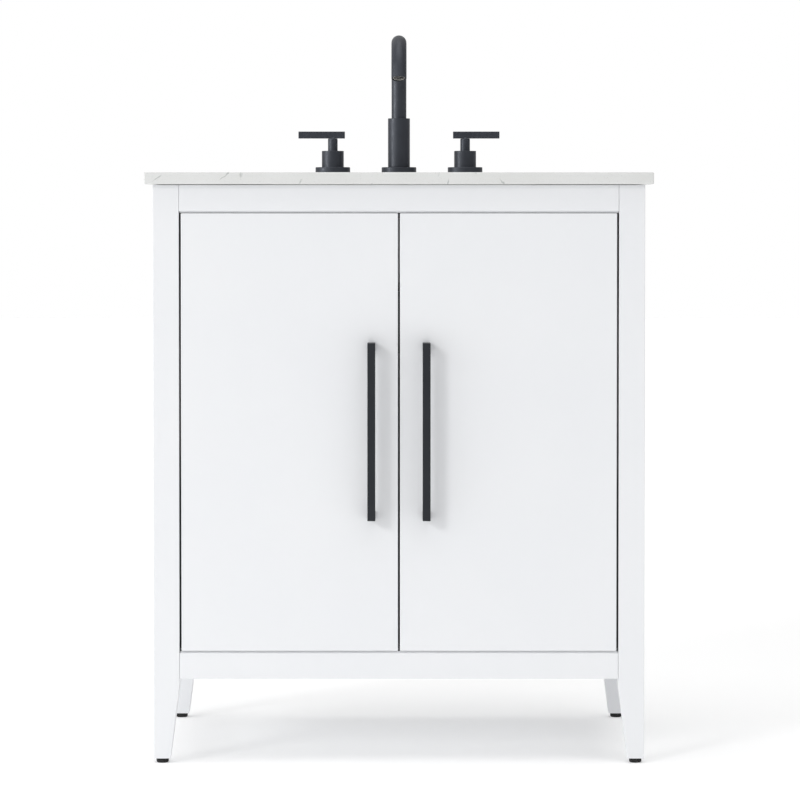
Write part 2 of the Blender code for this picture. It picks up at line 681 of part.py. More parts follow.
def spout_frame(distance):
    """Place and turn of the spout's section, distance along its middle line from the arc's start."""
    arc = SPOUT_ARC_RADIUS * SPOUT_ARC_ANGLE
    angle = min(max(distance, 0), arc) / SPOUT_ARC_RADIUS
    spring_z = SPOUT_TOP - SPOUT_RADIUS - SPOUT_ARC_RADIUS
    y = -SPOUT_ARC_RADIUS * (1 - math.cos(angle))
    z = spring_z + SPOUT_ARC_RADIUS * math.sin(angle)
    straight = min(distance, 0) + max(distance - arc, 0)
    heading = Vector((0, -math.sin(angle), math.cos(angle)))
    return Matrix.Translation(Vector((0, y, z)) + straight * heading) @ Matrix.Rotation(angle, 4, "X")


def spout_bmesh(start):
    """A ring carried along the straight, the arc and the tip, closed at both ends."""
    arc = SPOUT_ARC_RADIUS * SPOUT_ARC_ANGLE
    spring_z = SPOUT_TOP - SPOUT_RADIUS - SPOUT_ARC_RADIUS
    stations = [arc * step / SPOUT_ARC_STEPS for step in range(SPOUT_ARC_STEPS + 1)]
    stations = [start - spring_z] + stations + [arc + SPOUT_TIP]
    bm = bmesh.new()
    ring = bmesh.ops.create_circle(bm, segments=SMALL_ROUND, radius=SPOUT_RADIUS)["verts"]
    bmesh.ops.transform(bm, matrix=spout_frame(stations[0]), verts=ring)
    edges = bm.edges[:]
    for before, after in zip(stations, stations[1:]):
        grown = bmesh.ops.extrude_edge_only(bm, edges=edges)["geom"]
        edges = [item for item in grown if isinstance(item, bmesh.types.BMEdge)]
        ring = [item for item in grown if isinstance(item, bmesh.types.BMVert)]
        step = spout_frame(after) @ spout_frame(before).inverted()
        bmesh.ops.transform(bm, matrix=step, verts=ring)
    bmesh.ops.holes_fill(bm, edges=bm.edges, sides=0)
    return bm


def add_aerator(tube, steel, black):
    """The flow straightener in the spout's mouth, and the recess that it sits in."""
    end = SPOUT_ARC_RADIUS * SPOUT_ARC_ANGLE + SPOUT_TIP
    mouth = Matrix.Translation((0, TAP_Y, TOP_HEIGHT)) @ spout_frame(end)
    depth = AERATOR_RECESS + AERATOR_HEIGHT
    hole = AERATOR_RADIUS + SEAT_GAP
    profile = rod_profile(hole, -depth - SEAT_GAP, depth)
    recess = add_turned("cut_aerator", profile, black, (0, 0, 0), SMALL_ROUND)
    recess.matrix_world = mouth
    change(tube, hide_helper(recess))
    bm = turned_bmesh([
        (0, -depth),
        (AERATOR_RADIUS, -depth),
        (AERATOR_RADIUS, -AERATOR_RECESS),
        (AERATOR_RADIUS - AERATOR_LIP, -AERATOR_RECESS),
        (AERATOR_RADIUS - AERATOR_LIP - AERATOR_SLOPE, -AERATOR_RECESS - AERATOR_LIP),
        (0, -AERATOR_RECESS - AERATOR_LIP),
    ], SMALL_ROUND)
    place = Vector((0, TAP_Y, TOP_HEIGHT))
    bmesh.ops.transform(bm, matrix=Matrix.Translation(-place) @ mouth, verts=bm.verts)
    return add_object("aerator", bm, steel, place, smooth=True)


def dome_profile(radius, height, base, steps=5):
    """Points over a dome, from its edge to its crown."""
    points = []
    for step in range(steps + 1):
        angle = math.pi / 2 * step / steps
        points.append((radius * math.cos(angle) if step < steps else 0, base + height * math.sin(angle)))
    return points


def add_valve(side, x_side, black, brass):
    """One valve: body and nut fixed in the top, and the handle's hub and lever that turn on it."""
    place = (x_side * TAP_SPREAD / 2, TAP_Y, 0)
    add_tap_flange(f"valve_flange_{side}", place, black)
    add_shank_nut(f"valve_nut_{side}", place, brass)
    base = TOP_HEIGHT + TAP_FLANGE_HEIGHT + SEAT_GAP
    hub_top = base + HUB_HEIGHT
    stem_top = hub_top + STEM_HEIGHT
    spindle_top = hub_top + STEM_HEIGHT / 2
    cavity = HUB_RADIUS - HUB_WALL
    cavity_top = hub_top - HUB_WALL
    body_radius = cavity - 2 * SLIDE_GAP
    body_top = cavity_top - HUB_WALL
    add_turned(f"valve_body_{side}", [
        (0, TOP_UNDERSIDE - SHANK_LENGTH),
        (SHANK_RADIUS, TOP_UNDERSIDE - SHANK_LENGTH),
        (SHANK_RADIUS, base),
        (body_radius, base),
        (body_radius, body_top),
        (SPINDLE_RADIUS, body_top),
        (SPINDLE_RADIUS, spindle_top),
        (0, spindle_top),
    ], brass, place, SMALL_ROUND)
    bore = SPINDLE_RADIUS + SLIDE_GAP
    hub = add_turned(f"handle_hub_{side}", [
        (cavity, base + SEAT_GAP),
        (HUB_RADIUS, base + SEAT_GAP),
        (HUB_RADIUS, hub_top - TAP_FLANGE_EDGE),
        (HUB_RADIUS - TAP_FLANGE_EDGE, hub_top),
        (STEM_RADIUS, hub_top),
        *dome_profile(STEM_RADIUS, STEM_LAP, stem_top),
        (0, spindle_top + SLIDE_GAP),
        (bore, spindle_top + SLIDE_GAP),
        (bore, cavity_top),
        (cavity, cavity_top),
    ], black, place, SMALL_ROUND, closed=True)
    half = LEVER_SIZE / 2
    lever_z = stem_top + SEAT_GAP
    slot = add_box(f"cut_lap_{side}", (-STEM_RADIUS * 2, -half - SEAT_GAP, stem_top),
                   (STEM_RADIUS * 2, half + SEAT_GAP, stem_top + LEVER_SIZE), black, place)
    change(hub, hide_helper(slot))
    ends = sorted((x_side * LEVER_OUTER, -x_side * LEVER_INNER))
    lever = add_box(f"handle_lever_{side}", (ends[0], -half, lever_z), (ends[1], half, lever_z + LEVER_SIZE),
                    black, place)
    ease_edges(lever, LEVER_EDGE)
    hang(add_axis(f"handle_{side}_axis", place), hub, lever)


def add_door(side, x_side, white, black, steel):
    """A flat door with its pull and its two hinge cups, on the hinge axis by the outer gap."""
    axis = add_axis(f"door_{side}_axis", (x_side * HINGE_AXIS_X, FRONT_Y, DOOR_MIDDLE))
    outer = x_side * (OPENING_X - DOOR_GAP)
    x_ends = sorted((outer, outer - x_side * DOOR_WIDTH))
    panel = add_box(f"door_{side}", (x_ends[0], FRONT_Y, DOOR_BOTTOM),
                    (x_ends[1], FRONT_Y + DOOR_THICKNESS, DOOR_TOP), white)
    ease_edges(panel, DOOR_EDGE)
    hang(axis, panel, add_pull(side, x_side, black))
    for level, z in hinge_heights().items():
        place = (x_side * (OPENING_X - CUP_ACROSS), FRONT_Y, z)
        cup = add_hinge_cup(f"hinge_cup_{level}_{side}", place, steel)
        bore_radius = CUP_RADIUS + SEAT_GAP
        floor_y = DOOR_THICKNESS - CUP_DEPTH - SEAT_GAP
        bm = turned_bmesh(rod_profile(bore_radius, floor_y, DOOR_THICKNESS * 2), SMALL_ROUND)
        bmesh.ops.rotate(bm, matrix=Matrix.Rotation(-math.pi / 2, 3, "X"), verts=bm.verts)
        change(panel, hide_helper(add_object(f"cut_cup_{level}_{side}", bm, steel, place)))
        hang(axis, cup)


def hinge_heights():
    return {"top": DOOR_TOP - HINGE_END_DISTANCE, "bottom": DOOR_BOTTOM + HINGE_END_DISTANCE}


def add_pull(side, x_side, black):
    """A square bar with a square post at each end, in one piece."""
    half = PULL_SIZE / 2
    length = PULL_LENGTH / 2
    bar_back = -PULL_PROJECTION + PULL_SIZE
    outline = [
        (-length, -SEAT_GAP),
        (-length, -PULL_PROJECTION),
        (length, -PULL_PROJECTION),
        (length, -SEAT_GAP),
        (length - PULL_POST_HEIGHT, -SEAT_GAP),
        (length - PULL_POST_HEIGHT, bar_back),
        (-length + PULL_POST_HEIGHT, bar_back),
        (-length + PULL_POST_HEIGHT, -SEAT_GAP),
    ]
    bm = prism_bmesh(outline, -half, half)
    bmesh.ops.rotate(bm, matrix=Matrix.Rotation(-math.pi / 2, 3, "Y"), verts=bm.verts)
    pull = add_object(f"pull_{side}", bm, black, (x_side * PULL_INSET, FRONT_Y, PULL_Z))
    return ease_edges(pull, PULL_EDGE)


def add_hinge_cup(name, place, steel):
    """A pressed cup with a thin rim and two screw wings on the door's back."""
    mouth = DOOR_THICKNESS + SEAT_GAP
    floor_y = DOOR_THICKNESS - CUP_DEPTH
    inner = CUP_RADIUS - CUP_WALL
    bm = turned_bmesh([
        (0, floor_y),
        (CUP_RADIUS, floor_y),
        (CUP_RADIUS, mouth),
        (CUP_RIM_RADIUS, mouth),
        (CUP_RIM_RADIUS, mouth + CUP_RIM_THICKNESS),
        (inner, mouth + CUP_RIM_THICKNESS),
        (inner, floor_y + CUP_WALL),
        (0, floor_y + CUP_WALL),
    ], SMALL_ROUND)
    bmesh.ops.rotate(bm, matrix=Matrix.Rotation(-math.pi / 2, 3, "X"), verts=bm.verts)
    cup = add_object(name, bm, steel, place, smooth=True)
    half = CUP_WING_WIDTH / 2
    for label, z_sign in (("upper", 1), ("lower", -1)):
        z_ends = sorted((z_sign * (CUP_RADIUS + CUP_RIM_RADIUS) / 2, z_sign * CUP_WING_REACH))
        wing = add_box(f"join_{label}_wing_{name}", (-half, mouth, z_ends[0]),
                       (half, mouth + CUP_RIM_THICKNESS, z_ends[1]), steel, place)
        change(cup, hide_helper(wing), "UNION")
    return cup


def add_hinge_arm(name, x_side, z, steel):
    """Mounting plate and cranked arm with two cheeks, on the strip behind the front leg."""
    low = ARM_PLATE_THICKNESS + SEAT_GAP
    crank = ARM_START + ARM_NOSE_LENGTH
    end = ARM_START + ARM_LENGTH
    outline = [
        (low, ARM_START + ARM_FRONT_RAKE),
        (ARM_BODY_HEIGHT, ARM_START),
        (ARM_NOSE_HEIGHT, ARM_START),
        (ARM_NOSE_HEIGHT, crank - ARM_CRANK_START),
        (ARM_BODY_HEIGHT, crank + ARM_CRANK_END),
        (ARM_BODY_HEIGHT - ARM_BACK_RAKE, end),
        (low, end),
    ]
    half = ARM_WIDTH / 2
    bm = prism_bmesh([(-x_side * across, depth) for across, depth in outline], -half, half)
    place = (x_side * OPENING_X, FRONT_Y, z)
    arm = add_object(name, bm, steel, place)
    slot_half = ARM_SLOT_WIDTH / 2
    x_ends = sorted((-x_side * ARM_FLOOR, -x_side * (ARM_NOSE_HEIGHT + ARM_FLOOR)))
    slot = add_box(f"cut_slot_{name}", (x_ends[0], ARM_START - ARM_DOOR_GAP, -slot_half),
                   (x_ends[1], end - ARM_SLOT_END, slot_half), steel, place)
    change(arm, hide_helper(slot))
    plate_half = ARM_PLATE_WIDTH / 2
    x_ends = sorted((-x_side * SEAT_GAP, -x_side * (low + SEAT_GAP)))
    plate = add_box(f"join_plate_{name}", (x_ends[0], ARM_PLATE_START, -plate_half),
                    (x_ends[1], ARM_PLATE_START + ARM_PLATE_LENGTH, plate_half), steel, place)
    change(arm, hide_helper(plate), "UNION")


def add_hinge_link(name, x_side, z, steel):
    """The bent link: it turns in the cup and draws in and out between the arm's cheeks."""
    half = LINK_THICKNESS / 2
    outline = [
        (-half, -half),
        (LINK_ELBOW + half, -half),
        (LINK_ELBOW + half, LINK_REACH),
        (LINK_ELBOW - half, LINK_REACH),
        (LINK_ELBOW - half, half),
        (-half, half),
    ]
    bm = prism_bmesh(outline, -LINK_WIDTH / 2, LINK_WIDTH / 2)
    bmesh.ops.rotate(bm, matrix=Matrix.Rotation(LINK_REST_ANGLE, 3, "Z"), verts=bm.verts)
    bmesh.ops.scale(bm, vec=(-x_side, 1, 1), verts=bm.verts)
    return add_object(name, bm, steel, (*link_pivot(x_side), z))


def link_pivot(x_side):
    return (x_side * (OPENING_X - LINK_PIVOT_ACROSS), FRONT_Y + LINK_PIVOT_DEPTH)


def build():
    clear_scene()
    white = finish("white_lacquer", (0.90, 0.905, 0.91), 0.38)
    stone = finish("quartz", (0.83, 0.83, 0.81), 0.22)
    ceramic = finish("glazed_ceramic", (0.93, 0.93, 0.92), 0.08)
    black = finish("matt_black", (0.032, 0.034, 0.038), 0.42, 0.6)
    rubber = finish("black_rubber", (0.02, 0.02, 0.02), 0.75)
    steel = finish("nickelled_steel", (0.62, 0.62, 0.60), 0.28, 1.0)
    brass = finish("plain_brass", (0.70, 0.52, 0.26), 0.35, 1.0)

    pieces = add_frame(white)
    add_panels(pieces, white)
    add_floor(white)
    add_door_stop(white)
    add_top(stone)
    add_drain(add_basin(ceramic), black, rubber)
    add_spout(black, brass, steel)
    for side, x_side in SIDES.items():
        add_valve(side, x_side, black, brass)
        add_door(side, x_side, white, black, steel)
        links = []
        for level, z in hinge_heights().items():
            add_hinge_arm(f"hinge_arm_{level}_{side}", x_side, z, steel)
            links.append(add_hinge_link(f"hinge_link_{level}_{side}", x_side, z, steel))
        hang(add_axis(f"links_{side}_axis", (*link_pivot(x_side), DOOR_MIDDLE)), *links)
        for end, y_side in (("front", -1), ("back", 1)):
            add_foot(end, side, pieces[f"leg_{end}_{side}"], x_side, y_side, rubber, brass)


build()
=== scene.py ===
# %% [markdown]
# # A bathroom vanity, dressed for the studio
#
# A white vanity with two flat doors, a pale quartz top and a matt black three-hole tap. Its
# working model is loaded as a fixed frame, which settles sizes, places and moving parts. Here
# every visible piece is modelled again with soft edges and fine turning, and gets its finish.

# %% Load the frame
import math

import bmesh
import bpy
from mathutils import Matrix, Vector


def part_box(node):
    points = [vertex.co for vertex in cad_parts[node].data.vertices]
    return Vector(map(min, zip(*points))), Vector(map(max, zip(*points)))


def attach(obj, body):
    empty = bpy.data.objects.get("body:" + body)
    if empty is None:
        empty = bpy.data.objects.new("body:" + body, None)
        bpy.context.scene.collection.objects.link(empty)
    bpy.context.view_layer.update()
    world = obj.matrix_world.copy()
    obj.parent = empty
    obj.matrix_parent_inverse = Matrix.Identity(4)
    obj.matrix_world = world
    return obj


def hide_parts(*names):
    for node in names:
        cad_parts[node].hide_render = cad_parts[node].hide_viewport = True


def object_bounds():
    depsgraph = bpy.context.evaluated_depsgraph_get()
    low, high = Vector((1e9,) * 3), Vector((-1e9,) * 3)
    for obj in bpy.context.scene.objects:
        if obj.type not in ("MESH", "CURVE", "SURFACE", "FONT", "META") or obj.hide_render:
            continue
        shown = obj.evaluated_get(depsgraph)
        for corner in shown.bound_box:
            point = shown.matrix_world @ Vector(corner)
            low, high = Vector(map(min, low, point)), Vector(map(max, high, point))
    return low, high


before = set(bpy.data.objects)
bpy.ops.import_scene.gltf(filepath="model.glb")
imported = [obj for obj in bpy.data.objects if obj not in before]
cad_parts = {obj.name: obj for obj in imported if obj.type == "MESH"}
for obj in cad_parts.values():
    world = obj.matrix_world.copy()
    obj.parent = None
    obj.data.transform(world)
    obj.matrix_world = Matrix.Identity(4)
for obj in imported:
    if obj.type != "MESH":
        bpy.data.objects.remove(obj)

GAP = 0.0003
cad_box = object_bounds()
cad_size = cad_box[1] - cad_box[0]
add_object = bpy.context.scene.collection.objects.link
print(f"Loaded {len(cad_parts)} nodes: {', '.join(f'{side:.3f}' for side in cad_size)} m")

# %% [markdown]
# ## Camera
#
# A long lens from far away keeps upright edges parallel. The camera stands just under the height
# of the top and tilts down by less than two degrees, because more would make the legs converge.
# The lens is shifted down for the rest, as on an architect's camera.

# %% Place the camera
EYE_HEIGHT = 0.8354
EYE_DISTANCE = 4.9522
EYE_TILT = math.radians(1.7)
FOCAL_LENGTH = 148.7
FILM_WIDTH = 36.0
LENS_SHIFT_X = 0.0013
LENS_SHIFT_Y = -0.1173

lens = bpy.data.cameras.new("camera")
lens.lens = FOCAL_LENGTH
lens.sensor_width = FILM_WIDTH
lens.shift_x = LENS_SHIFT_X
lens.shift_y = LENS_SHIFT_Y
camera = bpy.data.objects.new("camera", lens)
camera.location = (0.0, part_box("door_left")[0].y - EYE_DISTANCE, EYE_HEIGHT)
camera.rotation_euler = (math.radians(90) - EYE_TILT, 0.0, 0.0)
add_object(camera)
bpy.context.scene.camera = camera
print(f"Camera at {camera.location.y:.2f} m in front, {FOCAL_LENGTH} mm lens")

# %% [markdown]
# ## Studio
#
# A white object on a white ground needs care: too much light and its edges vanish. Four suns
# light it: a key from the front left, which draws the shadows of the pulls, a weaker fill from
# the right, one from behind and a broad one from above. Two tall panels on the left shade the
# front from left to right, and a spot draws the highlight down the left of the tap. The floor
# glows faintly, as a light table does, so it stays pale right up to the horizon.

# %% Lay the floor
FLOOR_SIZE = 40.0
FLOOR_COLOR = (0.80, 0.80, 0.80, 1.0)
FLOOR_GLOW = 0.26

floor_material = bpy.data.materials.new("pale_floor")
floor_material.use_nodes = True
floor_shader = floor_material.node_tree.nodes["Principled BSDF"]
floor_shader.inputs["Base Color"].default_value = FLOOR_COLOR
floor_shader.inputs["Roughness"].default_value = 0.9
floor_shader.inputs["Specular IOR Level"].default_value = 0.1
floor_shader.inputs["Emission Color"].default_value = (1.0, 1.0, 1.0, 1.0)
floor_shader.inputs["Emission Strength"].default_value = FLOOR_GLOW
floor_mesh = bpy.data.meshes.new("floor")
floor_bm = bmesh.new()
bmesh.ops.create_grid(floor_bm, x_segments=1, y_segments=1, size=FLOOR_SIZE / 2)
floor_bm.to_mesh(floor_mesh)
floor_bm.free()
floor_mesh.materials.append(floor_material)
floor = bpy.data.objects.new("floor", floor_mesh)
add_object(floor)


# %% Set the lights
SPOT_EDGE = 0.6


def add_lamp(name, kind, power, place, heading):
    """A lamp at place that shines along heading. Gives its settings."""
    settings = bpy.data.lights.new(name, kind)
    settings.energy = power
    lamp = bpy.data.objects.new(name, settings)
    lamp.location = place
    lamp.rotation_euler = Vector(heading).to_track_quat("-Z", "Y").to_euler()
    add_object(lamp)
    return settings


def add_sun(name, heading, strength, softness):
    """A sun that shines along heading. Softness is how wide it looks, in degrees."""
    settings = add_lamp(name, "SUN", strength, (0, 0, 0), heading)
    settings.angle = math.radians(softness)


def add_panel_light(name, place, target, width, height, power):
    """A flat lamp at place that faces target."""
    settings = add_lamp(name, "AREA", power, place, Vector(target) - Vector(place))
    settings.shape = "RECTANGLE"
    settings.size = width
    settings.size_y = height


def add_spot_light(name, place, target, radius, cone, power):
    """A round lamp at place that lights a soft cone, in degrees, about target."""
    settings = add_lamp(name, "SPOT", power, place, Vector(target) - Vector(place))
    settings.shadow_soft_size = radius
    settings.spot_size = math.radians(cone)
    settings.spot_blend = SPOT_EDGE


add_sun("key_sun", (0.80, 1.0, -0.50), 0.70, 14.0)
add_sun("fill_sun", (-0.55, 0.8, -1.0), 0.28, 60.0)
add_sun("back_sun", (0.2, -1.0, -0.9), 0.22, 60.0)
add_sun("top_sun", (0.0, 0.1, -1.0), 1.30, 60.0)
add_panel_light("left_panel", (-2.6, -1.3, 1.1), (0.0, 0.0, 0.8), 1.6, 2.4, 13.0)
add_panel_light("side_panel", (-2.4, -0.15, 1.2), (0.0, 0.0, 0.9), 0.9, 1.8, 10.0)
add_spot_light("tap_spot", (-1.2, -0.3, 1.15), (0.0, 0.18, 1.0), 0.16, 26.0, 24.0)

# %% Set the sky
SKY_LIGHT = 0.355
SKY_SEEN = 1.0

world = bpy.data.worlds.new("studio")
world.use_nodes = True
sky = world.node_tree
background = sky.nodes["Background"].inputs
background["Color"].default_value = (1.0, 1.0, 1.0, 1.0)
sight = sky.nodes.new("ShaderNodeLightPath")
level = sky.nodes.new("ShaderNodeMapRange")
level.inputs["To Min"].default_value = SKY_LIGHT
level.inputs["To Max"].default_value = SKY_SEEN
sky.links.new(sight.outputs["Is Camera Ray"], level.inputs["Value"])
sky.links.new(level.outputs["Result"], background["Strength"])
bpy.context.scene.world = world
bpy.context.scene.view_settings.view_transform = "Standard"

# %% [markdown]
# ## Finishes
#
# Each finish is one Principled shader with procedural patterns: a slow drift of tone, a finer one
# of roughness, and a height that Bump turns into relief. All read Object coordinates. The pieces
# sit unturned at the origin, so a pattern's scale says how many features fit in a real metre.


# %% Helpers for finishes
def new_finish(slot, color, roughness, metallic=0.0, specular=0.5):
    """A Principled material for one of the record's slots, with its plain values set."""
    material = bpy.data.materials.new(f"{slot}_finish")
    material["slot"] = slot
    material.use_nodes = True
    shader = material.node_tree.nodes["Principled BSDF"]
    shader.inputs["Base Color"].default_value = (*color, 1.0)
    shader.inputs["Roughness"].default_value = roughness
    shader.inputs["Metallic"].default_value = metallic
    shader.inputs["Specular IOR Level"].default_value = specular
    return material


def fill(material, socket, value):
    """Gives a socket another node's output or a plain value."""
    if isinstance(value, bpy.types.NodeSocket):
        material.node_tree.links.new(value, socket)
    else:
        socket.default_value = value


def add_node(material, kind, inputs):
    """A new node with its inputs filled, by name or by number."""
    node = material.node_tree.nodes.new(f"ShaderNode{kind}")
    for key, value in inputs.items():
        fill(material, node.inputs[key], value)
    return node


def pattern(material, scale, detail=2.0, stretch=(1.0, 1.0, 1.0), distortion=0.0):
    """Noise on Object coordinates, from 0 to 1. Stretch above 1 packs it along that axis."""
    place = add_node(material, "TexCoord", {}).outputs["Object"]
    mapping = add_node(material, "Mapping", {"Vector": place, "Scale": stretch})
    return add_node(material, "TexNoise", {
        "Vector": mapping.outputs["Vector"], "Scale": scale, "Detail": detail,
        "Distortion": distortion,
    }).outputs["Fac"]


def spread(material, value, from_low, from_high, low, high):
    """Maps a value's range onto another, and holds it inside."""
    return add_node(material, "MapRange", {
        "Value": value, "From Min": from_low, "From Max": from_high, "To Min": low, "To Max": high,
    }).outputs["Result"]


def drift(material, scale, detail, low=0.0, high=1.0):
    """A pattern whose middle contrast is stretched to run from low to high."""
    return spread(material, pattern(material, scale, detail), 0.3, 0.7, low, high)


def blend_colors(material, factor, first, second):
    """First where factor is 0, second where it is 1. Each is a colour or another node's output."""
    node = add_node(material, "Mix", {"Factor": factor})
    node.data_type = "RGBA"
    color_sockets = [socket for socket in node.inputs if socket.type == "RGBA"]
    for socket, color in zip(color_sockets, (first, second)):
        fill(material, socket, (*color, 1.0) if isinstance(color, tuple) else color)
    return next(socket for socket in node.outputs if socket.type == "RGBA")


def dress(material, color=None, roughness=None, relief=()):
    """Wires patterns to the shader. Relief lists (height, depth in metres), coarse first."""
    shader = material.node_tree.nodes["Principled BSDF"]
    for name, value in (("Base Color", color), ("Roughness", roughness)):
        if value is not None:
            fill(material, shader.inputs[name], value)
    for height, depth in relief:
        bump = add_node(material, "Bump", {"Strength": 1.0, "Distance": depth, "Height": height})
        for link in shader.inputs["Normal"].links:
            fill(material, bump.inputs["Normal"], link.from_socket)
        fill(material, shader.inputs["Normal"], bump.outputs["Normal"])
    print(f"{material.name}: {len(material.node_tree.nodes)} nodes")


# %% Masks
def math_node(material, operation, *values):
    """The result of one sum or comparison."""
    node = add_node(material, "Math", dict(enumerate(values)))
    node.operation = operation
    return node.outputs["Value"]


def band(material, value, middle, width):
    """1 within a width of the middle value, 0 elsewhere."""
    return math_node(material, "COMPARE", value, middle, width)


def both(material, first, second):
    """The product of two masks."""
    return math_node(material, "MULTIPLY", first, second)


def inside_box(material, low, high):
    """1 in the space between two corners."""
    place = add_node(material, "TexCoord", {}).outputs["Object"]
    split = add_node(material, "SeparateXYZ", {"Vector": place})
    mask = None
    for value, start, end in zip(split.outputs, low, high):
        reach = band(material, value, (start + end) / 2, (end - start) / 2)
        mask = reach if mask is None else both(material, mask, reach)
    return mask


# %% [markdown]
# ### White lacquer
#
# Sprayed lacquer dries with a faint orange peel, a few millimetres from crest to crest, and its
# gloss varies where the spray overlapped. Behind the doors and on the faces beside them, painted
# shade colours the lacquer dark grey, so the gaps read dark. Masks shaped like those spaces say
# where.

# %% White lacquer
# The dark grey inside and on the jambs is painted shade: it darkens the gaps round the doors.
INSIDE_SHADE_COLOR = (0.20, 0.20, 0.205)
REVEAL = 0.0035
SKIN = 0.0006
UNDER_FLOOR = 0.005

white_lacquer = new_finish("white_lacquer", (0.82, 0.83, 0.85), 0.38)
lacquer_tone = drift(white_lacquer, 5.0, 3.0)
lacquer_tone_and_shade = blend_colors(
    white_lacquer, lacquer_tone, (0.812, 0.824, 0.846), (0.828, 0.838, 0.856),
)
door_low, door_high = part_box("door_left")
opening_low = Vector((
    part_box("leg_front_left")[1].x, door_high.y + SKIN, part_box("rail_front_bottom")[1].z,
))
opening_high = Vector((
    -opening_low.x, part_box("back_panel")[0].y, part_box("rail_front_top")[0].z,
))
panel_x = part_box("side_panel_right")[0].x
shaded_spaces = [(
    Vector((-panel_x - SKIN, opening_low.y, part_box("floor_panel")[1].z - UNDER_FLOOR)),
    Vector((panel_x + SKIN, opening_high.y + SKIN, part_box("countertop")[0].z)),
)]
for side in (-1, 1):
    jamb = side * opening_high.x
    shaded_spaces.append((
        Vector((jamb - SKIN, door_low.y + REVEAL, opening_low.z - SKIN)),
        Vector((jamb + SKIN, opening_low.y, opening_high.z + SKIN)),
    ))
# Painted shade: the space behind the doors and the faces beside them turn dark grey.
for space in shaded_spaces:
    inside = inside_box(white_lacquer, *space)
    lacquer_tone_and_shade = blend_colors(white_lacquer, inside, lacquer_tone_and_shade, INSIDE_SHADE_COLOR)
dress(
    white_lacquer,
    color=lacquer_tone_and_shade,
    roughness=drift(white_lacquer, 60.0, 4.0, 0.33, 0.43),
    relief=[
        (pattern(white_lacquer, 260.0, 1.0), 0.00008),
        (pattern(white_lacquer, 1400.0, 2.0), 0.00001),
    ],
)


# %% [markdown]
# ### Quartz
#
# Engineered quartz is crushed stone in resin: a pale ground, small darker grains, and thin grey
# veins that break off. A vein is where a noise crosses its middle value, and a second noise rubs
# most of that line away.

# %% Quartz
quartz = new_finish("quartz", (0.78, 0.785, 0.775), 0.2)
quartz_cloud = spread(quartz, pattern(quartz, 9.0, 4.0), 0.35, 0.65, 0.0, 1.0)
quartz_ground = blend_colors(quartz, quartz_cloud, (0.705, 0.712, 0.700), (0.735, 0.742, 0.735))
quartz_grain = spread(quartz, pattern(quartz, 900.0, 2.0), 0.62, 0.70, 0.0, 0.55)
quartz_speckled = blend_colors(quartz, quartz_grain, quartz_ground, (0.56, 0.56, 0.54))
quartz_vein = band(quartz, pattern(quartz, 7.0, 5.0, distortion=0.6), 0.5, 0.006)
quartz_breaks = spread(quartz, pattern(quartz, 45.0, 4.0), 0.52, 0.62, 0.0, 0.75)
quartz_lines = both(quartz, quartz_vein, quartz_breaks)
quartz_veined = blend_colors(quartz, quartz_lines, quartz_speckled, (0.42, 0.44, 0.43))
dress(
    quartz,
    color=quartz_veined,
    roughness=spread(quartz, pattern(quartz, 300.0, 3.0), 0.35, 0.65, 0.16, 0.26),
    relief=[(pattern(quartz, 700.0, 2.0), 0.000006)],
)

# %% [markdown]
# ### Glazed ceramic
#
# Glaze is glassy, and its slow unevenness tells it from plastic: reflections bend a little.

# %% Glazed ceramic
glazed_white = new_finish("glazed_white", (0.86, 0.86, 0.85), 0.07)
glaze_tone = drift(glazed_white, 8.0, 2.0)
dress(
    glazed_white,
    color=blend_colors(glazed_white, glaze_tone, (0.845, 0.850, 0.845), (0.870, 0.870, 0.860)),
    roughness=drift(glazed_white, 30.0, 3.0, 0.05, 0.10),
    relief=[(pattern(glazed_white, 22.0, 1.0), 0.00035)],
)

# %% [markdown]
# ### Matt black
#
# The tap and the pulls are coated metal: a soft charcoal, cool in the highlights, with a grain too
# fine to see singly. The tap's black is painted paler than the pulls', as painted light. Handling
# makes the roughness wander.

# %% Matt black
PULL_BLACK = (0.012, 0.013, 0.015)
# The tap's paler black is painted light: the same coat, lightened to stand in for the brighter
# light on the tap.
LIT_TAP_BLACK = (0.033, 0.036, 0.044)
COOL_TINT = (0.84, 0.9, 1.0, 1.0)

matt_black = new_finish("matt_black", PULL_BLACK, 0.42, specular=0.42)
black_shader = matt_black.node_tree.nodes["Principled BSDF"]
black_shader.inputs["Specular Tint"].default_value = COOL_TINT
black_tone = drift(matt_black, 35.0, 3.0, 0.0, 0.25)
# Painted light: everything above the stone top takes the paler black.
tap_light_mask = inside_box(matt_black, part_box("countertop")[0], cad_box[1] + Vector((0, 0, GAP)))
black_and_tap_light = blend_colors(matt_black, tap_light_mask, PULL_BLACK, LIT_TAP_BLACK)
dress(
    matt_black,
    color=blend_colors(matt_black, black_tone, black_and_tap_light, (0.004, 0.004, 0.005)),
    roughness=drift(matt_black, 80.0, 4.0, 0.36, 0.47),
    relief=[(pattern(matt_black, 2600.0, 2.0), 0.00002)],
)

# %% [markdown]
# ### Rubber, nickelled steel and brass
#
# The feet are dull rubber. Hinges and screws are rolled steel, nickelled, with faint streaks from
# a noise squeezed along the height. Brass nuts and shanks show lathe marks round theirs.

# %% Rubber, steel and brass
black_rubber = new_finish("black_rubber", (0.020, 0.020, 0.021), 0.75, specular=0.3)
dress(
    black_rubber,
    roughness=drift(black_rubber, 200.0, 3.0, 0.66, 0.84),
    relief=[(pattern(black_rubber, 1500.0, 3.0), 0.00004)],
)

nickelled_steel = new_finish("nickelled_steel", (0.62, 0.61, 0.585), 0.28, metallic=1.0)
steel_streaks = pattern(nickelled_steel, 120.0, 4.0, stretch=(1.0, 1.0, 14.0))
dress(
    nickelled_steel,
    color=blend_colors(nickelled_steel, steel_streaks, (0.56, 0.55, 0.53), (0.68, 0.67, 0.645)),
    roughness=spread(nickelled_steel, steel_streaks, 0.3, 0.7, 0.22, 0.36),
    relief=[(steel_streaks, 0.00001)],
)

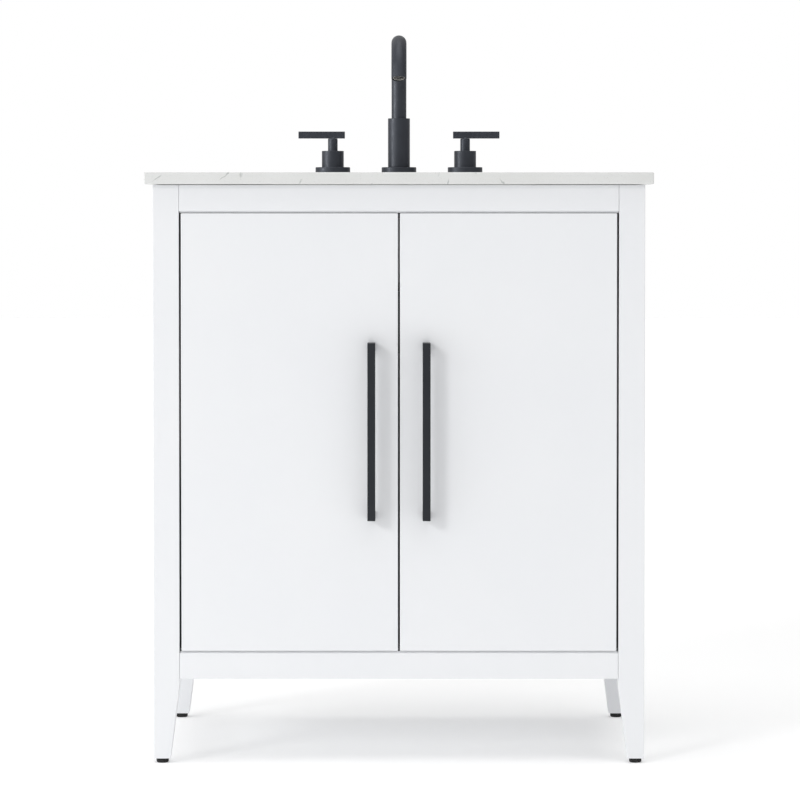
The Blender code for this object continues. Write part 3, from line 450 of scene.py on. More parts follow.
plain_brass = new_finish("plain_brass", (0.72, 0.53, 0.27), 0.3, metallic=1.0)
brass_rings = pattern(plain_brass, 60.0, 3.0, stretch=(1.0, 1.0, 30.0))
dress(
    plain_brass,
    color=blend_colors(plain_brass, brass_rings, (0.66, 0.47, 0.23), (0.76, 0.57, 0.30)),
    roughness=spread(plain_brass, brass_rings, 0.3, 0.7, 0.24, 0.38),
    relief=[(brass_rings, 0.00001)],
)

# %% [markdown]
# ## Tools for shapes
#
# Four tools make nearly everything. A slab is a cube stretched between two corners. Turning spins
# half a section about an upright axis, as a lathe does. Easing bevels the sharp edges, because
# no real edge is perfectly sharp. Combining is a Boolean that cuts shapes or joins them.

# %% Slab, ease, move
SHARP = math.radians(30)


def slab(low, high):
    """A box between two corners, as a bmesh."""
    bm = bmesh.new()
    bmesh.ops.create_cube(bm, size=1.0)
    bmesh.ops.scale(bm, vec=high - low, verts=bm.verts)
    bmesh.ops.translate(bm, vec=(high + low) / 2, verts=bm.verts)
    return bm


def ease(bm, width, segments=3, where=None):
    """Rounds the sharp edges. Where picks among them."""
    edges = [edge for edge in bm.edges if edge.is_manifold and edge.calc_face_angle() > SHARP]
    if where is not None:
        edges = [edge for edge in edges if where(edge)]
    bmesh.ops.bevel(bm, geom=edges, offset=width, offset_type="OFFSET", affect="EDGES",
                    segments=segments, profile=0.5, material=-1, clamp_overlap=True)
    return bm


def above(height):
    """Picks the edges that lie wholly above a height."""
    return lambda edge: min(v.co.z for v in edge.verts) > height


def move(bm, matrix):
    bmesh.ops.transform(bm, matrix=matrix, verts=bm.verts)
    return bm


def shift(bm, x, y, z=0.0):
    return move(bm, Matrix.Translation((x, y, z)))


def middle_of(node):
    """The middle of a node's box."""
    low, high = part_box(node)
    return (low + high) / 2


def facing(place, heading):
    """The matrix that takes a shape drawn along +Z at the origin to a place and a heading."""
    return Matrix.Translation(place) @ Vector(heading).to_track_quat("Z", "Y").to_matrix().to_4x4()


# %% Turn
STEPS = 72


def turn(profile, steps=STEPS):
    """Spins (radius, height) points about Z. A profile that ends where it starts makes a ring."""
    bm = bmesh.new()
    verts = [bm.verts.new((radius, 0.0, height)) for radius, height in profile]
    edges = [bm.edges.new(pair) for pair in zip(verts, verts[1:])]
    bmesh.ops.spin(bm, geom=verts + edges, cent=(0, 0, 0), axis=(0, 0, 1),
                   angle=2 * math.pi, steps=steps, use_merge=True)
    bmesh.ops.remove_doubles(bm, verts=bm.verts, dist=1e-6)
    bmesh.ops.recalc_face_normals(bm, faces=bm.faces)
    return bm


def rod(radius, low, high, steps=STEPS):
    return turn([(0, low), (radius, low), (radius, high), (0, high)], steps)


def dome(radius, rise, base, steps=10):
    """Points from a dome's edge up to its crown on the axis."""
    angles = [math.pi / 2 * step / steps for step in range(steps)]
    return [(radius * math.cos(a), base + rise * math.sin(a)) for a in angles] + [(0, base + rise)]


def thread(radius, low, high, pitch=0.0015, depth=0.0006):
    """Points up the outside of a threaded length."""
    count = round((high - low) / pitch)
    points = []
    for number in range(count):
        start = low + (high - low) * number / count
        points += [(radius - depth, start), (radius, start + pitch / 2)]
    return points + [(radius - depth, high)]


# %% Combine
def combine(bm, tool, operation="DIFFERENCE"):
    """Cuts tool from bm, joins it on or keeps what they share. Both are used up."""
    helpers = []
    for source in (bm, tool):
        bmesh.ops.recalc_face_normals(source, faces=source.faces)
        mesh = bpy.data.meshes.new("helper")
        source.to_mesh(mesh)
        source.free()
        helper = bpy.data.objects.new("helper", mesh)
        add_object(helper)
        helpers.append(helper)
    boolean = helpers[0].modifiers.new("combine", "BOOLEAN")
    boolean.object = helpers[1]
    boolean.operation = operation
    boolean.solver = "EXACT"
    evaluated = helpers[0].evaluated_get(bpy.context.evaluated_depsgraph_get())
    result = bmesh.new()
    result.from_mesh(evaluated.to_mesh())
    for helper in helpers:
        mesh = helper.data
        bpy.data.objects.remove(helper)
        bpy.data.meshes.remove(mesh)
    return result


# %% [markdown]
# A finished shape becomes a piece. It is shaded smooth, a Weighted Normal modifier keeps broad
# faces flat beside their rounded edges, and the piece takes its finish, hangs on the body it moves
# with and hides the nodes it stands for.

# %% Make a piece
fresh_pieces = []


def make(name, bm, material, body, *nodes):
    """Turns a shape into a finished piece that rides on a body and replaces nodes."""
    bmesh.ops.recalc_face_normals(bm, faces=bm.faces)
    mesh = bpy.data.meshes.new(name)
    bm.to_mesh(mesh)
    bm.free()
    mesh.shade_smooth()
    mesh.set_sharp_from_angle(angle=math.radians(40))
    mesh.materials.append(material)
    piece = bpy.data.objects.new(name, mesh)
    add_object(piece)
    weighted = piece.modifiers.new("flat_faces", "WEIGHTED_NORMAL")
    weighted.keep_sharp = True
    weighted.weight = 100
    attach(piece, body)
    if nodes:
        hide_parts(*nodes)
    fresh_pieces.append(piece)
    return piece


def report(title):
    """Prints how many pieces were made since the last report."""
    faces = sum(len(piece.data.polygons) for piece in fresh_pieces)
    print(f"{title}: {len(fresh_pieces)} pieces, {faces} faces")
    fresh_pieces.clear()


# %% [markdown]
# ## The wooden frame
#
# Four square legs run from the floor to the top and taper on their inner faces. Rails join them,
# and thin panels slide into grooves in both. Each board starts as a slab the size of its node,
# and the grooves are cut with a copy of the panel that is a hair larger.

# %% Legs
FOOT_SQUARE = 0.025
TAPER_HEIGHT = 0.110
BOARD_EDGE = 0.0009
SHADOW_GAP = 0.0005
SIDES = {"left": -1, "right": 1}
CORNERS = [(end, side) for end in ("front", "back") for side in SIDES]
LEVELS = ("top", "bottom")
HINGES = [(level, side) for side in SIDES for level in LEVELS]
top_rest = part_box("leg_front_left")[1].z
PANELS = ("side_panel_left", "side_panel_right", "back_panel")


def grown(node):
    """A slab a hair larger than a node all round."""
    low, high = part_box(node)
    margin = Vector((GAP, GAP, GAP))
    return slab(low - margin, high + margin)


def meets(first, second):
    """Whether the boxes of two nodes overlap."""
    low_a, high_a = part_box(first)
    low_b, high_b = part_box(second)
    return all(low_a[i] < high_b[i] and low_b[i] < high_a[i] for i in range(3))


def board_box(node):
    """A board's two corners, lowered a little where the stone top lies on it."""
    low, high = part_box(node)
    if abs(high.z - top_rest) < 2 * GAP:
        high = high - Vector((0, 0, SHADOW_GAP))
    return low, high


def leg_shape(node, end, side):
    """A post whose two inner faces lean in to a small square foot."""
    low, high = board_box(node)
    corner = Vector((
        low.x if side == "left" else high.x, low.y if end == "front" else high.y, low.z,
    ))
    bm = slab(low, high)
    bmesh.ops.bisect_plane(bm, geom=bm.verts[:] + bm.edges[:] + bm.faces[:],
                           plane_co=(0, 0, low.z + TAPER_HEIGHT), plane_no=(0, 0, 1))
    for vert in bm.verts:
        if vert.co.z < low.z + TAPER_HEIGHT / 2:
            away = vert.co - corner
            vert.co.x = corner.x + max(-FOOT_SQUARE, min(FOOT_SQUARE, away.x))
            vert.co.y = corner.y + max(-FOOT_SQUARE, min(FOOT_SQUARE, away.y))
    return ease(bm, BOARD_EDGE)


STEM_RADIUS = 0.0040
STEM_CLEARANCE = 0.0004
STEM_TOP = 0.0395
HOLE_STEPS = 32

for end, side in CORNERS:
    node = f"leg_{end}_{side}"
    bm = leg_shape(node, end, side)
    for panel in PANELS:
        if meets(node, panel):
            bm = combine(bm, grown(panel))
    hole = rod(STEM_RADIUS + STEM_CLEARANCE, 0.0, STEM_TOP, HOLE_STEPS)
    bm = combine(bm, shift(hole, *middle_of(f"foot_{end}_{side}").xy))
    make(f"{end}_leg_{side}", bm, white_lacquer, "cabinet", node)
report("Legs")

# %% Rails, panels, floor and hinge strips
SERVICE_NEAR = 0.030
SERVICE_FAR = 0.170
SERVICE_LOW = 0.400
SERVICE_HIGH = 0.660
CUT_Y = (0.2, 0.3)
SEAL_SETBACK = 0.0030
SEAL_THICKNESS = 0.0021
PANEL_EDGE = 0.0004
LEGS = [f"leg_{end}_{side}" for end, side in CORNERS]
RAILS = ["rail_front_top", "rail_front_bottom", "rail_back_top", "rail_back_bottom"]
RAILS += [f"side_rail_{level}_{side}" for level in LEVELS for side in SIDES]
STRIPS = [f"hinge_strip_{side}" for side in SIDES]

for node in RAILS + STRIPS + ["floor_panel", "door_stop"]:
    bm = ease(slab(*board_box(node)), BOARD_EDGE)
    for other in LEGS if node == "floor_panel" else PANELS:
        if node not in STRIPS and meets(node, other):
            bm = combine(bm, grown(other))
    make(f"{node}_board", bm, white_lacquer, "cabinet", node)
for level, edge_z, direction in (("bottom", opening_low.z, 1), ("top", opening_high.z, -1)):
    rail_low, rail_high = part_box(f"rail_front_{level}")
    far_z = edge_z + direction * SEAL_THICKNESS
    seal = slab(Vector((rail_low.x + GAP, rail_low.y + SEAL_SETBACK, min(edge_z, far_z))),
                Vector((rail_high.x - GAP, rail_high.y - BOARD_EDGE, max(edge_z, far_z))))
    make(f"{level}_reveal_strip", ease(seal, PANEL_EDGE, 2), white_lacquer, "cabinet")
for node in PANELS:
    bm = slab(*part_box(node))
    if node == "back_panel":
        for left, right in ((-SERVICE_FAR, -SERVICE_NEAR), (SERVICE_NEAR, SERVICE_FAR)):
            bm = combine(bm, slab(Vector((left, CUT_Y[0], SERVICE_LOW)),
                                  Vector((right, CUT_Y[1], SERVICE_HIGH))))
    make(f"{node}_board", ease(bm, PANEL_EDGE, 2), white_lacquer, "cabinet", node)
report("Boards")

# %% [markdown]
# ## Doors and pulls
#
# A door is a flat slab, eased a little more than the frame and bored for the hinge cups. A pull
# is one square bar with a post at each end: the space behind the bar is cut out of a slab before
# its edges are eased, so that bar and posts keep the same soft edge.

# %% Doors
DOOR_EDGE = 0.0011
CUP_RADIUS = 0.0175
BORE_STEPS = 48

for side in SIDES:
    node = f"door_{side}"
    bm = ease(slab(*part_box(node)), DOOR_EDGE, 4)
    for level in LEVELS:
        centre = middle_of(f"hinge_cup_{level}_{side}")
        cup_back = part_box(f"hinge_cup_{level}_{side}")[0].y
        bore = rod(CUP_RADIUS + GAP, cup_back - GAP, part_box(node)[1].y + DOOR_EDGE, BORE_STEPS)
        bm = combine(bm, move(bore, facing((centre.x, 0.0, centre.z), (0, 1, 0))))
    make(f"{side}_door", bm, white_lacquer, f"door_{side}_leaf", node)
report("Doors")

# %% Pulls
PULL_EDGE = 0.0007
POST_HEIGHT = 0.0125

for side in SIDES:
    low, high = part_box(f"pull_{side}")
    bar = high.x - low.x
    behind = slab(Vector((low.x - bar, low.y + bar, low.z + POST_HEIGHT)),
                  Vector((high.x + bar, high.y + bar, high.z - POST_HEIGHT)))
    bm = ease(combine(slab(low, high), behind), PULL_EDGE)
    make(f"{side}_pull", bm, matt_black, f"door_{side}_leaf", f"pull_{side}")
report("Pulls")

# %% [markdown]
# ## Stone top and basin
#
# The top is a slab with barely rounded edges. Its cut-out is a circle pulled apart into its four
# quarters, and so is any ring of the basin. The basin is a stack of such rings, bridged one to
# the next, up the inside from the drain, out over the rim and down the outside.

# %% Stone top
BOWL_HALF_X = 0.215
BOWL_HALF_Y = 0.145
BOWL_CORNER = 0.050
TAP_HOLE_RADIUS = 0.0170
TOP_EDGE = 0.0014
RIM_EDGE = 0.0012
RING_STEPS = 96
CUT_MARGIN = 0.01


def ring(bm, half_x, half_y, corner, z, filled=False):
    """A circle pulled apart into a rectangle with round corners. Gives its edges."""
    made = bmesh.ops.create_circle(bm, cap_ends=filled, segments=RING_STEPS, radius=corner)["verts"]
    bmesh.ops.rotate(bm, matrix=Matrix.Rotation(math.pi / RING_STEPS, 3, "Z"), verts=made)
    for vert in made:
        vert.co.x += math.copysign(half_x - corner, vert.co.x)
        vert.co.y += math.copysign(half_y - corner, vert.co.y)
        vert.co.z = z
    chosen = set(made)
    return [edge for edge in bm.edges if edge.verts[0] in chosen and edge.verts[1] in chosen]


def raise_faces(bm, height):
    """Extrudes every face straight up."""
    raised = bmesh.ops.extrude_face_region(bm, geom=bm.faces[:])["geom"]
    verts = [item for item in raised if isinstance(item, bmesh.types.BMVert)]
    bmesh.ops.translate(bm, vec=(0, 0, height), verts=verts)
    return bm


def round_block(half_x, half_y, corner, low, high):
    """A block with upright round corners."""
    bm = bmesh.new()
    ring(bm, half_x, half_y, corner, low, filled=True)
    return raise_faces(bm, high - low)


top_low, top_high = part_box("countertop")
basin_low, basin_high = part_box("basin")
bowl_y = (basin_low.y + basin_high.y) / 2
tap_y = middle_of("spout_flange").y
through = (top_low.z - CUT_MARGIN, top_high.z + CUT_MARGIN)

stone = ease(slab(top_low, top_high), TOP_EDGE)
hollow = round_block(BOWL_HALF_X, BOWL_HALF_Y, BOWL_CORNER, *through)
stone = combine(stone, shift(hollow, 0, bowl_y))


def on_bowl_rim(edge):
    return all(abs(v.co.z - top_high.z) < GAP and abs(v.co.x) < BOWL_HALF_X + GAP
               and abs(v.co.y - bowl_y) < BOWL_HALF_Y + GAP for v in edge.verts)


stone = ease(stone, RIM_EDGE, 3, on_bowl_rim)
for flange in ("valve_flange_left", "spout_flange", "valve_flange_right"):
    hole = rod(TAP_HOLE_RADIUS, *through, BORE_STEPS)
    stone = combine(stone, shift(hole, *middle_of(flange).xy))
make("stone_top", stone, quartz, "cabinet", "countertop")
report("Stone top")

# %% Basin
BASIN_FLANGE = 0.018
BASIN_WALL = 0.010
BASIN_REVEAL = 0.002
BASIN_SLOPE = 0.020
BASIN_BEND = 0.025
BASIN_FALL = 0.006
FLANGE_THICKNESS = 0.012
DRAIN_HOLE = 0.0225
DRAIN_SEAT = 0.0318
SEAT_DEPTH = 0.003
BEND_STEPS = 8
BASIN_EDGE = 0.0008

drain_low, drain_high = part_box("drain_body")
floor_z = drain_high.z + BASIN_FALL
seat_z = drain_high.z - SEAT_DEPTH
under_z = seat_z - BASIN_WALL
rim_z = basin_high.z
inner_x = BOWL_HALF_X + BASIN_REVEAL
inner_y = BOWL_HALF_Y + BASIN_REVEAL
corner = BOWL_CORNER + BASIN_REVEAL


def round_ring(radius, z):
    return radius, radius, radius, z


def bowl_ring(inset, z):
    return inner_x - inset, inner_y - inset, corner, z


def bend(radius):
    """Rings round the bend between floor and wall, with its middle shared by both faces."""
    angles = [math.pi / 2 * step / BEND_STEPS for step in range(BEND_STEPS + 1)]
    return [bowl_ring(BASIN_SLOPE + BASIN_BEND - radius * math.sin(a),
                      floor_z + BASIN_BEND - radius * math.cos(a)) for a in angles]


flange_z = rim_z - FLANGE_THICKNESS
rings = [
    round_ring(DRAIN_HOLE, seat_z),
    round_ring(DRAIN_SEAT, seat_z),
    round_ring(DRAIN_SEAT, drain_high.z),
    *bend(BASIN_BEND),
    bowl_ring(0.0, rim_z),
    bowl_ring(-BASIN_FLANGE, rim_z),
    bowl_ring(-BASIN_FLANGE, flange_z),
    bowl_ring(-BASIN_WALL, flange_z),
    *bend(BASIN_BEND + BASIN_WALL)[::-1],
    round_ring(DRAIN_SEAT + BASIN_WALL, under_z),
    round_ring(DRAIN_HOLE, under_z),
]

bowl = bmesh.new()
loops = [ring(bowl, *sizes) for sizes in rings]
for lower, upper in zip(loops, loops[1:] + loops[:1]):
    bmesh.ops.bridge_loops(bowl, edges=lower + upper)
bmesh.ops.recalc_face_normals(bowl, faces=bowl.faces)
ease(bowl, BASIN_EDGE, 2)
make("bowl", shift(bowl, 0, bowl_y), glazed_white, "cabinet", "basin")
report(f"Basin of {len(rings)} rings")

# %% [markdown]
# ## Drain
#
# A flanged tube is clamped from below by a nut on a rubber gasket. A bar across it guides the
# stem of the stopper, which stands just proud of the flange.

# %% Drain
TUBE_RADIUS = 0.0190
TUBE_BORE = 0.0165
MOUTH_RADIUS = 0.0168
MOUTH_LIP = 0.004
MOUTH_DEPTH = 0.006
MOUTH_SLOPE = 0.002
GUIDE_DROP = 0.030
GUIDE_THICKNESS = 0.006
GUIDE_HALF_WIDTH = 0.002
GUIDE_HUB_RADIUS = 0.0065
GUIDE_HUB_BELOW = 0.010
GUIDE_HUB_ABOVE = 0.002
GUIDE_HOLE_RADIUS = 0.0044
DRAIN_EDGE = 0.0005

flange_radius = (drain_high.x - drain_low.x) / 2
drain_z = drain_high.z
drain = ease(turn([
    (MOUTH_RADIUS + MOUTH_LIP, drain_z),
    (flange_radius - MOUTH_LIP, drain_z - GAP),
    (flange_radius, drain_z - 2 * GAP),
    (flange_radius, drain_z - SEAT_DEPTH + GAP),
    (TUBE_RADIUS, drain_z - SEAT_DEPTH + GAP),
    *thread(TUBE_RADIUS, drain_low.z, drain_z - SEAT_DEPTH - BASIN_WALL)[::-1],
    (TUBE_BORE, drain_low.z),
    (TUBE_BORE, drain_z - MOUTH_DEPTH - MOUTH_SLOPE),
    (MOUTH_RADIUS, drain_z - MOUTH_DEPTH),
    (MOUTH_RADIUS + MOUTH_LIP, drain_z),
]), DRAIN_EDGE, 2, above(drain_z - SEAT_DEPTH - GAP))
guide_z = drain_z - GUIDE_DROP
reach = (TUBE_BORE + TUBE_RADIUS) / 2
bar = slab(Vector((-reach, -GUIDE_HALF_WIDTH, guide_z - GUIDE_THICKNESS)),
           Vector((reach, GUIDE_HALF_WIDTH, guide_z)))
hub = rod(GUIDE_HUB_RADIUS, guide_z - GUIDE_HUB_BELOW, guide_z + GUIDE_HUB_ABOVE, HOLE_STEPS)
hole = rod(GUIDE_HOLE_RADIUS, guide_z - 2 * CUT_MARGIN, guide_z + CUT_MARGIN, HOLE_STEPS)
drain = combine(drain, combine(combine(bar, hub, "UNION"), hole), "UNION")
make("drain_tube", shift(drain, 0, bowl_y), matt_black, "cabinet", "drain_body")

# %% Stopper, gasket and nut
STOPPER_RADIUS = 0.0160
STOPPER_STEM = 0.0040
STOPPER_CROWN = 0.0022
STOPPER_EDGE = 0.0004
NUT_EDGE = 0.0003
GASKET_EDGE = 0.0008

stopper_low, stopper_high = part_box("drain_stopper")
cap_edge = stopper_high.z - STOPPER_CROWN
cap_low = drain_z - MOUTH_DEPTH + GAP
stopper = ease(turn([
    *dome(STOPPER_RADIUS, STOPPER_CROWN, cap_edge)[::-1],
    (STOPPER_RADIUS, cap_low + MOUTH_SLOPE),
    (STOPPER_RADIUS - MOUTH_LIP, cap_low),
    (STOPPER_STEM, cap_low),
    (STOPPER_STEM, stopper_low.z),
    (0, stopper_low.z),
]), STOPPER_EDGE, 2)
make("stopper_cap", shift(stopper, 0, bowl_y), matt_black, "stopper", "drain_stopper")


def nut_shape(node, hole_radius, sides):
    """A nut: a prism whose corners are turned off above and below, with a hole through it."""
    low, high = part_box(node)
    radius = (high.x - low.x) / 2
    height = high.z - low.z
    prism = rod(radius, -height / 2, height / 2, sides)
    flats = radius * math.cos(math.pi / sides)
    chamfer = (radius - flats) / 2
    barrel = turn([
        (0, -height / 2), (flats, -height / 2), (radius, -height / 2 + chamfer),
        (radius, height / 2 - chamfer), (flats, height / 2), (0, height / 2),
    ])
    hole = rod(hole_radius, -height, height, BORE_STEPS)
    nut = combine(combine(prism, barrel, "INTERSECT"), hole)
    return shift(ease(nut, NUT_EDGE, 2), *middle_of(node))


def washer(node, hole_radius):
    """A flat ring as wide and as high as a node."""
    low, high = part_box(node)
    radius = (high.x - low.x) / 2
    return turn([(hole_radius, low.z), (radius, low.z), (radius, high.z),
                 (hole_radius, high.z), (hole_radius, low.z)])


lock_nut = nut_shape("drain_nut", TUBE_RADIUS + GAP, 12)
make("drain_lock_nut", lock_nut, matt_black, "cabinet", "drain_nut")
seal = ease(washer("drain_gasket", TUBE_RADIUS + GAP), GASKET_EDGE)
make("drain_seal", shift(seal, 0, bowl_y), black_rubber, "cabinet", "drain_gasket")
report("Drain")

# %% [markdown]
# ## Tap
#
# Each of the three holes in the stone has a round flange above and a brass nut below. The spout
# turns in a fixed sleeve. Its tube is a circle of edges pulled up, spun over the arc about a
# level axis and pulled straight to the mouth, where they fold over the lip and back inside.

# %% Flanges and nuts
SHANK_RADIUS = 0.0135
FLANGE_EDGE = 0.0010

for name in ("valve_flange_left", "valve_flange_right", "spout_flange"):
    flange = shift(ease(washer(name, SHANK_RADIUS + GAP), FLANGE_EDGE), *middle_of(name).xy)
    make(f"{name}_plate", flange, matt_black, "cabinet", name)
for name in ("valve_nut_left", "valve_nut_right", "spout_nut"):
    make(f"{name}_hex", nut_shape(name, SHANK_RADIUS + GAP, 6), plain_brass, "cabinet", name)
report("Flanges and nuts")

# %% Spout
SOCKET_DEPTH = 0.022
SLIDE_GAP = 0.0004
TUBE_OUTER = 0.0120
TUBE_THICKNESS = 0.0015
ARC_RADIUS = 0.0650
ARC_ANGLE = math.radians(160)
ARC_STEPS = 64
TIP_LENGTH = 0.018
MOUTH_RECESS = 0.0095
RING_SEGMENTS = 56
SLEEVE_EDGE = 0.0006
MOUTH_EDGE = 0.0004

sleeve_low, sleeve_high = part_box("spout_sleeve")
sleeve_radius = (sleeve_high.x - sleeve_low.x) / 2
sleeve_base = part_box("spout_flange")[1].z + GAP
sleeve = ease(turn([
    (0, sleeve_low.z),
    *thread(SHANK_RADIUS, sleeve_low.z, top_low.z),
    (SHANK_RADIUS, sleeve_base),
    (sleeve_radius, sleeve_base),
    (sleeve_radius, sleeve_high.z),
    (TUBE_OUTER + SLIDE_GAP, sleeve_high.z),
    (TUBE_OUTER + SLIDE_GAP, sleeve_high.z - SOCKET_DEPTH),
    (0, sleeve_high.z - SOCKET_DEPTH),
]), SLEEVE_EDGE, 3, above(top_high.z))
make("spout_post", shift(sleeve, 0, tap_y), matt_black, "cabinet", "spout_sleeve")

tube_low, tube_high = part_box("spout_tube")
spring_z = tube_high.z - TUBE_OUTER - ARC_RADIUS
tip_heading = Vector((0, -math.sin(ARC_ANGLE), math.cos(ARC_ANGLE)))
tip_start = Vector((
    0, tap_y - ARC_RADIUS * (1 - math.cos(ARC_ANGLE)), spring_z + ARC_RADIUS * math.sin(ARC_ANGLE),
))
mouth = tip_start + tip_heading * TIP_LENGTH


def pull_edges(bm, edges, along=Vector((0, 0, 0)), shrink=1.0, middle=Vector((0, 0, 0))):
    """Extrudes a ring of edges, then moves and scales the new ring about its middle."""
    grown_parts = bmesh.ops.extrude_edge_only(bm, edges=edges)["geom"]
    verts = [item for item in grown_parts if isinstance(item, bmesh.types.BMVert)]
    bmesh.ops.translate(bm, vec=along, verts=verts)
    bmesh.ops.scale(bm, vec=(shrink,) * 3, space=Matrix.Translation(-middle), verts=verts)
    return [item for item in grown_parts if isinstance(item, bmesh.types.BMEdge)]


tube = bmesh.new()
bmesh.ops.create_circle(tube, segments=RING_SEGMENTS, radius=TUBE_OUTER)
shift(tube, 0, tap_y, tube_low.z)
last = pull_edges(tube, tube.edges[:], Vector((0, 0, spring_z - tube_low.z)))
bent = bmesh.ops.spin(tube, geom=last, cent=(0, tap_y - ARC_RADIUS, spring_z), axis=(1, 0, 0),
                      angle=ARC_ANGLE, steps=ARC_STEPS, use_merge=False)["geom_last"]
last = [item for item in bent if isinstance(item, bmesh.types.BMEdge)]
last = pull_edges(tube, last, tip_heading * TIP_LENGTH)
last = pull_edges(tube, last, shrink=1 - TUBE_THICKNESS / TUBE_OUTER, middle=mouth)
last = pull_edges(tube, last, -tip_heading * MOUTH_RECESS)
bmesh.ops.holes_fill(tube, edges=tube.edges, sides=0)
bmesh.ops.recalc_face_normals(tube, faces=tube.faces)
ease(tube, MOUTH_EDGE, 2)
make("spout_pipe", tube, matt_black, "spout", "spout_tube")
print(f"The spout's mouth is at {mouth.y:.3f}, {mouth.z:.3f}")

# %% [markdown]
# The flow straightener is a metal ring just inside the mouth, with a grid of thin bars.

# %% Flow straightener
AERATOR_RADIUS = 0.0098
AERATOR_WALL = 0.0014
AERATOR_DEPTH = 0.008
AERATOR_RECESS = 0.0010
AERATOR_CUP = 0.003
GRID_PITCH = 0.0019
GRID_BAR = 0.00025
GRID_BARS = 9
GRID_LOW = 0.0032
GRID_HIGH = 0.0008

grid_radius = AERATOR_RADIUS - AERATOR_WALL
aerator = ease(turn([
    (0, -AERATOR_RECESS - AERATOR_DEPTH),
    (AERATOR_RADIUS, -AERATOR_RECESS - AERATOR_DEPTH),
    (AERATOR_RADIUS, -AERATOR_RECESS),
    (grid_radius, -AERATOR_RECESS),
    (grid_radius, -AERATOR_RECESS - AERATOR_CUP),
    (0, -AERATOR_RECESS - AERATOR_CUP),
], BORE_STEPS), NUT_EDGE, 2)
grid = None
for number in range(GRID_BARS):
    offset = (number - GRID_BARS // 2) * GRID_PITCH
    half = math.sqrt(max(grid_radius ** 2 - offset ** 2, 0)) + GRID_BAR
    for across in (Vector((1, 0, 0)), Vector((0, 1, 0))):
        along = Vector((across.y, across.x, 0))
        floor_point = Vector((0, 0, -AERATOR_RECESS - GRID_LOW))
        crest_point = Vector((0, 0, -AERATOR_RECESS - GRID_HIGH))
        bar = slab(across * (offset - GRID_BAR) - along * half + floor_point,
                   across * (offset + GRID_BAR) + along * half + crest_point)
        grid = bar if grid is None else combine(grid, bar, "UNION")
aerator = combine(aerator, grid, "UNION")
turn_to_mouth = Matrix.Translation(mouth) @ Matrix.Rotation(ARC_ANGLE, 4, "X")
make("flow_straightener", move(aerator, turn_to_mouth), nickelled_steel, "spout", "aerator")
report("Spout")

# %% [markdown]
# Each handle is a hub on a brass valve, a slim stem, and a square lever in a slot across it. The
# stem's dome laps over the lever's front and back.

# %% Handles
HUB_RADIUS = 0.0177
HUB_HEIGHT = 0.0260
HUB_WALL = 0.0025
HANDLE_STEM = 0.0078
STEM_LAP = 0.0062
SPINDLE_RADIUS = 0.0040
LEVER_EDGE = 0.0006

for side in SIDES:
    hub_low, hub_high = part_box(f"handle_hub_{side}")
    lever_low, lever_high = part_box(f"handle_lever_{side}")
    hub_x = middle_of(f"handle_hub_{side}").x
    hub_base = sleeve_base - 2 * GAP / 3
    hub_top = hub_low.z - GAP + HUB_HEIGHT
    stem_top = hub_high.z - STEM_LAP
    spindle_top = (hub_top + stem_top) / 2
    cavity = HUB_RADIUS - HUB_WALL
    bore = SPINDLE_RADIUS + SLIDE_GAP
    hub = ease(turn([
        (cavity, hub_base),
        (HUB_RADIUS, hub_base),
        (HUB_RADIUS, hub_top),
        (HANDLE_STEM, hub_top),
        *dome(HANDLE_STEM, STEM_LAP, stem_top),
        (0, spindle_top + SLIDE_GAP),
        (bore, spindle_top + SLIDE_GAP),
        (bore, hub_top - HUB_WALL),
        (cavity, hub_top - HUB_WALL),
        (cavity, hub_base),
    ]), LEVER_EDGE, 3, lambda edge: max(v.co.z for v in edge.verts) > hub_top - GAP)
    slot = slab(Vector((-HUB_RADIUS, lever_low.y - tap_y - GAP, lever_low.z - GAP)),
                Vector((HUB_RADIUS, lever_high.y - tap_y + GAP, lever_high.z)))
    hub = combine(hub, slot)
    hub = shift(hub, hub_x, tap_y)
    make(f"{side}_handle_hub", hub, matt_black, f"handle_{side}", f"handle_hub_{side}")
    lever = ease(slab(lever_low, lever_high), LEVER_EDGE)
    make(f"{side}_handle_lever", lever, matt_black, f"handle_{side}", f"handle_lever_{side}")
    valve_low, valve_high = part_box(f"valve_body_{side}")
    body_top = hub_top - 2 * HUB_WALL
    body_radius = cavity - 2 * SLIDE_GAP
    valve = turn([
        (0, valve_low.z),
        *thread(SHANK_RADIUS, valve_low.z, top_low.z),
        (SHANK_RADIUS, sleeve_base),
        (body_radius, sleeve_base),
        (body_radius, body_top),
        (SPINDLE_RADIUS, body_top),
        (SPINDLE_RADIUS, valve_high.z),
        (0, valve_high.z),
    ], BORE_STEPS)
    valve = shift(valve, hub_x, tap_y)
    make(f"{side}_valve", valve, plain_brass, "cabinet", f"valve_body_{side}")
report("Handles and valves")

# %% [markdown]
# ## Hinges
#
# A concealed hinge has a cup let into the door, an arm on a plate inside the cabinet and a link
# between them. One screw head is drawn once and stamped wherever a screw goes.

# %% A screw head
SCREW_RADIUS = 0.0037
SCREW_HEIGHT = 0.0016
SCREW_STEPS = 24
CROSS_LENGTH = 0.6       # of the head's radius, as the width is
CROSS_WIDTH = 0.13
CROSS_FLOOR = 0.4        # of the head's height


